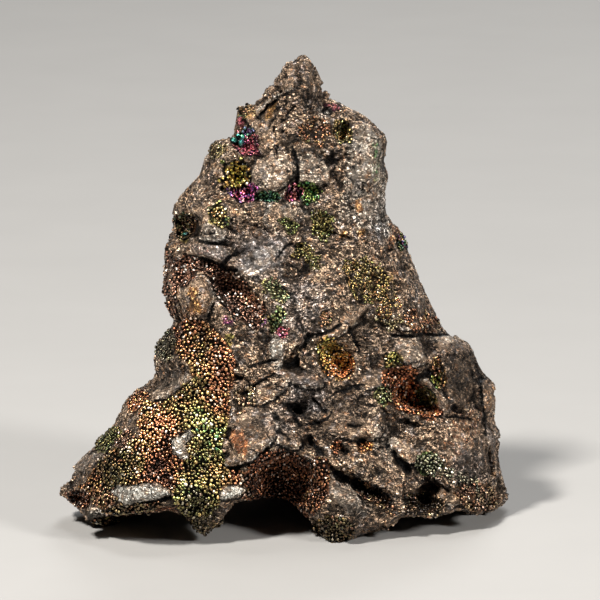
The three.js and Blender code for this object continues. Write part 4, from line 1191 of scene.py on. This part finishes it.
def make_rock(solid):
    """The whole rock, as one closed mesh with what its material needs."""
    surface = Surface(decimated(broken_form(first_form(solid)), MOST_TRIANGLES))
    facing = facing_front(surface, WIDE_FRONT_TURN)
    plane = ragged(surface.points, TONE_SHAKE)
    film, coat = film_on_rock(surface.points, facing)
    gap, rim = shadow_and_highlight_lines(surface.points)
    # These carry painted light as well as colour: shadow lines and highlight rims along the forms,
    # shade in crevices, in hollows and between the beads, and shade and light within the tone and the
    # pale rock.
    store(
        surface.mesh,
        film=film,
        coat=coat,
        pale=strongest(plane, PALE_AND_RIM_HIGHLIGHTS, PALE_EDGE) * facing,
        cool=strongest(plane, COOL, COOL_EDGE) * facing,
        bed=bedding(surface.points, facing),
        calm=calmness(surface.points) * facing,
        gap=FAR_FROM_LINE + (gap - FAR_FROM_LINE) * facing,
        rim=FAR_FROM_LINE + (rim - FAR_FROM_LINE) * facing,
        tone=1 + (tone_and_painted_light(surface.points) - 1) * facing,
        cavity=sunk(surface, CREVICE_SHADE_RISE),
        hollow=sunk(surface, HOLLOW_SHADE_RISE),
    )
    return surface


# ---------------------------------------------------------------- the crust

class Beads:
    """Beads that are yet to be made: where they are and what they are like."""

    def __init__(self, points, facing, turned, rise):
        count = len(points)
        self.points = points
        self.facing = facing
        self.turned = turned
        self.rise = rise
        self.piece = np.full(count, -1)
        self.radius = np.zeros(count)
        self.film = np.zeros(count)
        self.vivid = np.ones(count)
        self.tone = np.ones(count)

    def chosen(self, choice):
        """Only the beads that are chosen."""
        share = copy.copy(self)
        for name, values in vars(self).items():
            setattr(share, name, values[choice])
        return share


def candidates(surface):
    """Beads spread evenly at random over the surface.

    Each has the direction that its own spot faces, how far the wider ground is turned to the
    camera, and how far the spot stands out of that ground.
    """
    a, b, c = surface.corners()
    area = np.linalg.norm(np.cross(b - a, c - a), axis=1) / 2
    count = int(area.sum() * CANDIDATES_PER_MM2)
    chosen = RANDOM.choice(len(area), count, p=area / area.sum())
    one, two = RANDOM.random((2, count, 1))
    flip = one + two > 1
    one, two = np.where(flip, 1 - one, one), np.where(flip, 1 - two, two)
    a, b, c = a[chosen], b[chosen], c[chosen]
    corner = surface.triangles[chosen, 0]
    normals = surface.smoothed(surface.normals(), SPOT_ROUNDS)
    facing = units(normals[corner])
    turned = surface.smoothed(normals, GROUND_ROUNDS) @ SIGHT
    rise = surface.rise(RISE_ROUNDS, surface.smoothed(normals, RISE_FACING_ROUNDS))
    return Beads(a + one * (b - a) + two * (c - a), facing, turned[corner], rise[corner])


def choose_front(beads, draw, fade, stray):
    """Gives each bead that lies in a bed its piece, size and colour."""
    points = beads.points
    plane = ragged(points, BED_SHAKE)
    patch = 0.5 + 0.65 * noise(points, *BED_GAPS) + 0.5 * (draw - 0.5)
    shade = 1
    for size, seed, strength in SHADES:
        shade = shade + strength * noise(points, size, seed)
    # The beads take the rock's tone too, with its painted shade and light.
    shade = np.clip(shade, *SHADE_RANGE) * tone_and_painted_light(points)
    # Painted shade: beads low in the valleys between lumps are darker and those on top lighter.
    valley_shade = np.clip(1.15 + 2.2 * beads.rise, *VALLEY_SHADE_RANGE)
    field = field_film(plane)
    open_ground = (beads.facing @ SIGHT > SPOT_TURN) & (beads.turned > GROUND_TURN)
    open_ground &= bareness(plane) < BARE_GROUND
    for number, beds in enumerate(BEDS.values()):
        for bed in beds:
            wins = open_ground & (beads.piece < 0)
            wins &= depth_inside(plane, bed.shape) > fade - BED_OVERLAP
            if bed.cover < 1:
                wins &= patch < bed.cover
            film = field if bed.film is None else bed.film
            film = film + bed.change * (2 * along_shape(plane, bed.shape, bed.way) - 1)
            beads.piece[wins] = number
            beads.radius[wins] = bed.radius
            beads.film[wins] = (film + bed.spread * stray)[wins]
            beads.vivid[wins] = bed.vivid
            beads.tone[wins] = (bed.tone * shade * (valley_shade if bed.film is None else 1))[wins]


def choose_back(beads, draw, stray):
    """Gives each bead in the patches on the back its piece, size and colour."""
    points = beads.points
    back = (beads.turned < BACK_TURN) & (beads.piece < 0) & (points[:, 2] > BACK_LOWEST)
    back &= noise(points, *BACK_PATCHES) > 0.12 + 0.3 * draw
    beads.piece[back] = len(BEDS)
    beads.radius[back] = BACK_RADIUS
    beads.film[back] = (0.34 + 0.16 * noise(points, *BACK_FILM) + 0.06 * stray)[back]
    beads.vivid[back] = BACK_VIVID


def choose_beads(beads):
    """Gives each bead its piece (-1 where no bed lies), size and colour."""
    count = len(beads.points)
    draw = RANDOM.random(count)
    fade = BED_FADE * RANDOM.random(count) ** 2
    stray = 0.7 * RANDOM.normal(size=count) + 0.7 * noise(beads.points, *FILM_STRAY)
    choose_front(beads, draw, fade, stray)
    choose_back(beads, draw, stray)
    beads.radius *= 1 + RADIUS_SPREAD * np.clip(RANDOM.normal(size=count), *RADIUS_RANGE)


def spaced(points, radius):
    """Which points to keep, taken in order, so that no two beads crowd each other."""
    grid = {}
    kept = []
    for index, (point, size) in enumerate(zip(points.tolist(), radius.tolist())):
        x, y, z = (math.floor(value / GRID_CELL) for value in point)
        cells = [grid.get((x + dx, y + dy, z + dz), ()) for dx, dy, dz in GRID_STEPS]
        near = itertools.chain(*cells)
        if any(math.dist(point, spot) < CLOSENESS * (size + wide) / 2 for spot, wide in near):
            continue
        grid.setdefault((x, y, z), []).append((point, size))
        kept.append(index)
    return np.array(kept, int)


def bead_form():
    """A small closed ball whose buried half is plain: its points and its triangles."""
    mesh = bpy.data.meshes.new("bead")
    form = bmesh.new()
    bmesh.ops.create_icosphere(form, subdivisions=2, radius=1)
    buried = [corner for corner in form.verts if corner.co.z < BURIED_BELOW]
    bmesh.ops.pointmerge(form, verts=buried, merge_co=(0, 0, BEAD_ROOT))
    form.to_mesh(mesh)
    form.free()
    surface = Surface(mesh)
    points = surface.points * MM
    bpy.data.meshes.remove(mesh)
    return points, surface.triangles


def bead_points(beads, ball):
    """The points of each bead: a ball, stretched and dented, that stands out of the rock."""
    facing = beads.facing
    count = len(facing)
    radius = beads.radius[:, None, None]
    side = units(np.cross(facing, RANDOM.normal(size=(count, 3))))
    other = np.cross(facing, side)
    stretch = 1 + BEAD_STRETCH * RANDOM.uniform(-1, 1, (count, 3))
    dent = units(RANDOM.normal(size=(count, 3)))
    dented = 1 - DENT_DEPTH * ease(np.einsum("bk,nk->nb", ball, dent) * 1.4 - 0.3)
    local = ball[None] * stretch[:, None] * dented[:, :, None] * radius
    points = (
        beads.points[:, None]
        + facing[:, None] * (local[:, :, 2:] + STANDING_OUT * radius)
        + side[:, None] * local[:, :, :1]
        + other[:, None] * local[:, :, 1:2]
    ).reshape(-1, 3)
    points[:, 2] = np.maximum(points[:, 2], 0)
    return points


def triangle_mesh(name, points, triangles):
    """A new mesh of triangles."""
    mesh = bpy.data.meshes.new(name)
    mesh.vertices.add(len(points))
    mesh.vertices.foreach_set("co", (points * MM).astype(np.float32).ravel())
    mesh.loops.add(triangles.size)
    mesh.loops.foreach_set("vertex_index", triangles.ravel().astype(np.int32))
    mesh.polygons.add(len(triangles))
    mesh.polygons.foreach_set("loop_start", np.arange(0, triangles.size, 3, dtype=np.int32))
    mesh.update(calc_edges=True)
    mesh.validate()
    return mesh


def bead_mesh(name, beads, form):
    """Many beads as one mesh."""
    ball, triangles = form
    count, each = len(beads.points), len(ball)
    points = bead_points(beads, ball)
    faces = triangles[None] + (np.arange(count) * each)[:, None, None]
    mesh = triangle_mesh(name, points, faces.reshape(-1, 3))
    slide = np.einsum("bk,nk->nb", ball, RANDOM.normal(size=(count, 3)) * FILM_SLIDE)
    store(
        mesh,
        film=np.clip(beads.film[:, None] + slide, 0, 1).ravel(),
        # How high each point sits on its bead, for the painted light and shade of the beads.
        crown=np.tile(ball[:, 2], count),
        worn=np.repeat(RANDOM.random(count), each),
        vivid=np.repeat(beads.vivid, each),
        tone=np.repeat(beads.tone, each),
    )
    return mesh


def make_crust(surface, material):
    """The beads in each bed, as one piece for each part of the rock."""
    beads = candidates(surface)
    choose_beads(beads)
    beads = beads.chosen(beads.piece >= 0)
    beads = beads.chosen(spaced(beads.points, beads.radius))
    form = bead_form()
    for number, name in enumerate([*BEDS, "crust_back"]):
        mesh = bead_mesh(name, beads.chosen(beads.piece == number), form)
        mesh.materials.append(material)
        piece = placed(name, mesh)
        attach(piece, "root")


# ---------------------------------------------------------------- materials

class Shader:
    """A material's node tree, with short ways to add to it."""

    def __init__(self, name):
        self.material = bpy.data.materials.new(name)
        self.material.use_nodes = True
        self.tree = self.material.node_tree
        self.surface = self.tree.nodes["Principled BSDF"]
        here = self.node("TexCoord", {}).outputs["Object"]
        self.place = self.node("Mapping", {"Vector": here, "Scale": (1 / MM,) * 3}).outputs[0]
        self.swirl = None

    def node(self, kind, inputs, **settings):
        """A new node with its settings, and with its inputs linked or set."""
        node = self.tree.nodes.new("ShaderNode" + kind)
        for name, value in settings.items():
            setattr(node, name, value)
        for name, value in inputs.items():
            self.put(node.inputs[name], value)
        return node

    def put(self, socket, value):
        """Links a node's output to a socket, or sets the socket's own value."""
        if isinstance(value, bpy.types.NodeSocket):
            self.tree.links.new(value, socket)
        elif isinstance(value, tuple):
            socket.default_value = (*value, 1.0)[: len(socket.default_value)]
        else:
            socket.default_value = value

    def finished(self, inputs):
        """The material, with its surface's inputs linked or set."""
        for name, value in inputs.items():
            self.put(self.surface.inputs[name], value)
        return self.material

    def attribute(self, name):
        """A number that the mesh keeps for each point."""
        return self.node("Attribute", {}, attribute_name=name).outputs["Fac"]

    def noise(self, size, detail=3.0, roughness=0.55, place=None):
        """Cloudy noise from 0 to 1, whose patches are `size` millimetres wide."""
        place = place or self.place
        inputs = {"Vector": place, "Scale": 1 / size, "Detail": detail, "Roughness": roughness}
        return self.node("TexNoise", inputs).outputs["Fac"]

    def shaken(self, place, scale, reach):
        """Places moved by up to `reach` millimetres, by noise with `scale` humps to each."""
        noise = self.node("TexNoise", {"Vector": self.place, "Scale": scale})
        return self.vectors("MULTIPLY_ADD", noise.outputs["Color"], (reach,) * 3, place)

    def grain(self, stretch):
        """Places stretched along the rock's grain, which swirls."""
        if self.swirl is None:
            self.swirl = self.shaken(self.place, 1 / SWIRL_SIZE, SWIRL_REACH)
        inputs = {"Vector": self.swirl, "Rotation": (0, GRAIN_TURN, 0), "Scale": (stretch, 1.0, 1.0)}
        return self.node("Mapping", inputs).outputs["Vector"]

    def facets(self, size):
        """The height of small flat chips, each with its own slant, and a chance for each."""
        place = self.shaken(self.grain(CHIP_STRETCH), CHIP_SHAKE / size, size / 2)
        chip = self.node("TexVoronoi", {"Vector": place, "Scale": 1 / size}).outputs
        away = self.vectors("SUBTRACT", place, chip["Position"])
        slant = self.vectors("SUBTRACT", chip["Color"], (0.5, 0.5, 0.5))
        height = self.vectors("DOT_PRODUCT", away, slant, output="Value")
        chance = self.vectors("DOT_PRODUCT", chip["Color"], CHIP_CHANCE, output="Value")
        return height, chance

    def lines(self, size, stretch, width):
        """1 on the rock and 0 on fine winding lines about `size` millimetres apart."""
        cloud = self.noise(size, 4.0, 0.6, self.grain(stretch))
        away = self.maths("ABSOLUTE", self.maths("SUBTRACT", cloud, 0.5))
        return self.ramped(away, (width * 0.4, width))

    def maths(self, kind, *values):
        """A number worked out from numbers."""
        return self.node("Math", dict(enumerate(values)), operation=kind).outputs["Value"]

    def vectors(self, kind, *values, output="Vector"):
        """A vector, or a number, worked out from vectors."""
        return self.node("VectorMath", dict(enumerate(values)), operation=kind).outputs[output]

    def ramped(self, value, source, target=(0.0, 1.0)):
        """The value, stretched from one range to another and held inside it."""
        names = ("From Min", "From Max", "To Min", "To Max")
        inputs = {"Value": value, **dict(zip(names, (*source, *target)))}
        return self.node("MapRange", inputs).outputs["Result"]

    def cloud(self, size, source, target=(0.0, 1.0)):
        """Cloudy noise, stretched to a range and held inside it."""
        return self.ramped(self.noise(size), source, target)

    def mixed(self, share, one, two, blend="MIX"):
        """Two colours, mixed."""
        inputs = {"Factor": share, MIX_FIRST: one, MIX_SECOND: two}
        node = self.node("Mix", inputs, data_type="RGBA", blend_type=blend)
        return node.outputs[MIX_RESULT]

    def darkened(self, colour, *shares):
        """The colour, made darker or lighter by each share in turn."""
        for share in shares:
            colour = self.mixed(1.0, colour, share, "MULTIPLY")
        return colour

    def film_colour(self, value):
        """The film's colour at a place on its scale."""
        node = self.node("ValToRGB", {"Fac": value})
        stops = node.color_ramp.elements
        for number, (place, colour) in enumerate(FILM):
            stop = stops[number] if number < len(stops) else stops.new(place)
            stop.position = place
            stop.color = (*colour, 1.0)
        return node.outputs["Color"]

    def relief(self, *layers):
        """The way the surface faces with layers of relief: their form, strength and height."""
        under = {}
        for form, strength, height in layers:
            inputs = {"Strength": strength, "Distance": height * MM, "Height": form, **under}
            under = {"Normal": self.node("Bump", inputs).outputs["Normal"]}
        return under["Normal"]


def rock_colour(ore, rim):
    """Brown rock, warmer, rusty, bluish or pale in places, and paler along its rims as painted
    highlight.
    """
    colour = ore.mixed(ore.cloud(5.0, (0.45, 0.68)), BROWN, WARM)
    colour = ore.mixed(ore.cloud(1.3, (0.56, 0.63), (0, 0.55)), colour, RUST)
    colour = ore.mixed(ore.cloud(1.7, (0.54, 0.64), (0, 0.5)), colour, BLUISH)
    cool = ore.maths("MULTIPLY", ore.attribute("cool"), ore.cloud(1.6, (0.3, 0.6)))
    colour = ore.mixed(cool, colour, BLUISH)
    pale = ore.maths("MULTIPLY", ore.attribute("pale"), ore.cloud(1.2, (0.32, 0.55)))
    # Pale rock, and paler along the rims as painted highlight.
    pale = ore.maths("MAXIMUM", pale, ore.maths("MULTIPLY", rim, RIM_HIGHLIGHT_PALENESS))
    return ore.mixed(pale, colour, PALE_GREY)


def film_coat(ore):
    """How thickly the film coats the rock, and its colour."""
    ragged_coat = ore.maths("ADD", ore.attribute("coat"), ore.cloud(0.9, (0, 1), (-0.5, 0.5)))
    film = ore.maths("ADD", ore.attribute("film"), ore.cloud(0.8, (0, 1), (-0.1, 0.1)))
    return ore.ramped(ragged_coat, (0.35, 0.6)), ore.film_colour(film)


def fine_detail(ore, rough, shares):
    """How much fine detail lightens or darkens the rock, which is less on smooth ground."""
    detail = shares[0]
    for share in shares[1:]:
        detail = ore.maths("MULTIPLY", detail, share)
    faded = ore.maths("MULTIPLY", ore.maths("SUBTRACT", detail, 1.0), rough)
    return ore.maths("ADD", faded, DETAIL_LIFT)


def ore_material():
    """Dull brown rock, broken small, with a thin film of colour in places and painted light and shade.
    """
    ore = Shader("turgite_ore")
    wander = ore.cloud(1.0, (0.2, 0.8), (-0.7, 0.8))
    # Painted highlights along the rims and painted shadow lines along the forms, with ragged widths.
    rim = ore.ramped(ore.maths("ADD", ore.attribute("rim"), wander), (0.6, 1.2), (1, 0))
    gap = ore.ramped(ore.maths("ADD", ore.attribute("gap"), wander), (0.8, 1.3))
    coat, film = film_coat(ore)
    colour = ore.mixed(ore.maths("MULTIPLY", coat, FILM_STRENGTH), rock_colour(ore, rim), film)

    rough = ore.ramped(ore.attribute("calm"), (0, 0.75), (1.0, LEAST_ROUGH))
    specks = ore.noise(*SPECKS)
    chips, _ = ore.facets(CHIP_SIZE)
    grains, grain_chance = ore.facets(GRAIN_SIZE)
    lines = ore.maths("MULTIPLY", *(ore.lines(*kind) for kind in FINE_LINES))
    hidden = ore.cloud(3.5, (0.50, 0.56), (1, 0))
    fissures = ore.maths("MAXIMUM", ore.lines(*FISSURES), hidden)
    gaps = ore.ramped(ore.noise(*GAPS, ore.grain(0.55)), (0.405, 0.44))
    pits = ore.maths("MINIMUM", ore.ramped(ore.noise(*PITS), (0.38, 0.42)), gaps)
    streaks = ore.noise(*STREAKS, ore.grain(0.3))

    detail = [
        ore.ramped(lines, (0, 1), (0.12, 1.1)),
        ore.ramped(grain_chance, (0.26, 0.58), (0.04, 1.95)),
        ore.ramped(pits, (0, 1), (0.02, 1.05)),
        ore.ramped(specks, (0.41, 0.53), (0.03, 1.85)),
    ]
    colour = ore.darkened(
        colour,
        fine_detail(ore, rough, detail),
        ore.ramped(streaks, (0.36, 0.64), (0.62, 1.38)),
        ore.cloud(11.0, (0.35, 0.65), (0.85, 1.2)),
        # Painted shadow lines along the forms and painted highlights along the rims.
        ore.ramped(gap, (0, 1), (0.03, 1.0)),
        ore.ramped(rim, (0, 1), (1.0, 1.5)),
        ore.ramped(fissures, (0, 1), (0.05, 1.0)),
        # The rock's own tone, with painted shade and painted light in places.
        ore.attribute("tone"),
        # Painted shade: darker in crevices and hollows, and a little lighter on ridges.
        ore.ramped(ore.attribute("cavity"), (0.15, 0.6), (0.20, 1.12)),
        ore.ramped(ore.attribute("hollow"), (0.1, 0.6), (0.25, 1.1)),
        # Painted shade: the rock between the beads is darkened almost to black.
        ore.ramped(ore.attribute("bed"), (0.2, 0.8), (1.0, 0.04)),
    )

    gloss = ore.ramped(specks, (0.35, 0.65), (0.27, 0.5))
    smooth = ore.ramped(rough, (LEAST_ROUGH, 1.0), (0.10, 0))
    relief = ore.relief(
        (chips, rough, 0.4), (grains, rough, 2.2), (lines, 0.8, 0.12), (pits, 1.0, 0.25)
    )
    return ore.finished({
        "Base Color": colour,
        "Metallic": ore.ramped(coat, (0, 1), (0.54, 0.75)),
        "Roughness": ore.maths("ADD", gloss, smooth),
        "Specular IOR Level": 0.3,
        "Normal": relief,
    })


def crust_material():
    """Shiny beads in the film's colours, with painted shade low on each bead and painted light on its
    crown.
    """
    crust = Shader("turgite_crust")
    mottle = crust.cloud(0.7, (0, 1), (-0.07, 0.07))
    colour = crust.film_colour(crust.maths("ADD", crust.attribute("film"), mottle))
    grey = crust.node("RGBToBW", {"Color": colour}).outputs["Val"]
    dull = crust.darkened(grey, DULL_BEAD)
    colour = crust.mixed(crust.attribute("vivid"), dull, colour)
    # A random draw for each bead: it sets each bead's random lightness, and the few highest are greyed
    # and brightened as painted glints.
    worn = crust.attribute("worn")
    colour = crust.mixed(crust.ramped(worn, (0.90, 0.92), (0, 0.6)), colour, PALE_GLINT_BEAD)
    bright = crust.ramped(crust.maths("POWER", worn, 1.6), (0, 1), (0.45, 2.2))
    colour = crust.darkened(
        colour,
        crust.maths("MULTIPLY", bright, crust.attribute("tone")),
        # Painted shade low on each bead and in the gaps between beads, and painted light on its crown.
        crust.ramped(crust.attribute("crown"), (0.42, 0.97), (0.005, 1.75)),
    )
    return crust.finished({
        "Base Color": colour,
        "Metallic": 0.85,
        "Roughness": crust.cloud(0.4, (0.3, 0.7), (0.18, 0.36)),
        "Coat Weight": 0.15,
        "Coat Roughness": 0.15,
        "Normal": crust.relief((crust.noise(0.3), 0.6, 0.12)),
    })


def floor_material():
    """Plain grey paper."""
    paper = Shader("floor_paper")
    tone = paper.cloud(40.0, (0.3, 0.7), (0.97, 1.0))
    return paper.finished({"Base Color": paper.darkened(FLOOR_PAPER, tone), "Roughness": 0.8})


# ---------------------------------------------------------------- the studio

def make_floor():
    """A wide square of paper under the rock."""
    mesh = bpy.data.meshes.new("floor")
    corners = [(-1, -1), (1, -1), (1, 1), (-1, 1)]
    mesh.from_pydata([(x * FLOOR_HALF, y * FLOOR_HALF, 0) for x, y in corners], [], [(0, 1, 2, 3)])
    mesh.materials.append(floor_material())
    floor = placed("floor", mesh)


def make_lights():
    """Square lamps that face the middle of the rock, and a faint sky."""
    for name, place, size, watts, colour in LAMPS:
        lamp = bpy.data.lights.new(name, "AREA")
        lamp.size = size
        lamp.energy = watts
        lamp.color = colour
        light = linked(name, lamp)
        light.location = place
        aim = LAMP_AIM - light.location
        light.rotation_euler = aim.to_track_quat("-Z", "Y").to_euler()
    world = bpy.data.worlds.new("studio")
    world.use_nodes = True
    sky = world.node_tree.nodes["Background"].inputs
    sky["Color"].default_value = SKY
    sky["Strength"].default_value = SKY_STRENGTH
    bpy.context.scene.world = world


def make_camera():
    """A long lens that looks at the front, a little from above."""
    camera = bpy.data.cameras.new("camera")
    camera.sensor_width = SENSOR_WIDTH_MM
    camera.lens = camera.sensor_width * CAMERA_DISTANCE / FRAME_WIDTH
    camera.clip_end = CAMERA_CLIP
    eye = linked("camera", camera)
    eye.location = CAMERA_AIM + Vector(SIGHT) * CAMERA_DISTANCE
    eye.rotation_euler = (math.pi / 2 - TILT, 0, 0)
    bpy.context.scene.camera = eye


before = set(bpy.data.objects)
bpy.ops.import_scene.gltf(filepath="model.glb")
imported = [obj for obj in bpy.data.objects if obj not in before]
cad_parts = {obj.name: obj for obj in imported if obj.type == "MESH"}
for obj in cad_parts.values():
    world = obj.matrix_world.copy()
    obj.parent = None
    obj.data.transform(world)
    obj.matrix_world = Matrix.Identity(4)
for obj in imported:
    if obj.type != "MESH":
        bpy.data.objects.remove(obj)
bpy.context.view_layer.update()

rock_surface = make_rock(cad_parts["specimen"])
rock_surface.mesh.materials.clear()
rock_surface.mesh.materials.append(ore_material())
rock = placed("turgite_rock", rock_surface.mesh, SHARP_EDGE)
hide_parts("specimen")
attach(rock, "root")
make_crust(rock_surface, crust_material())
make_floor()
make_lights()
make_camera()
bpy.context.scene.view_settings.view_transform = "Standard"
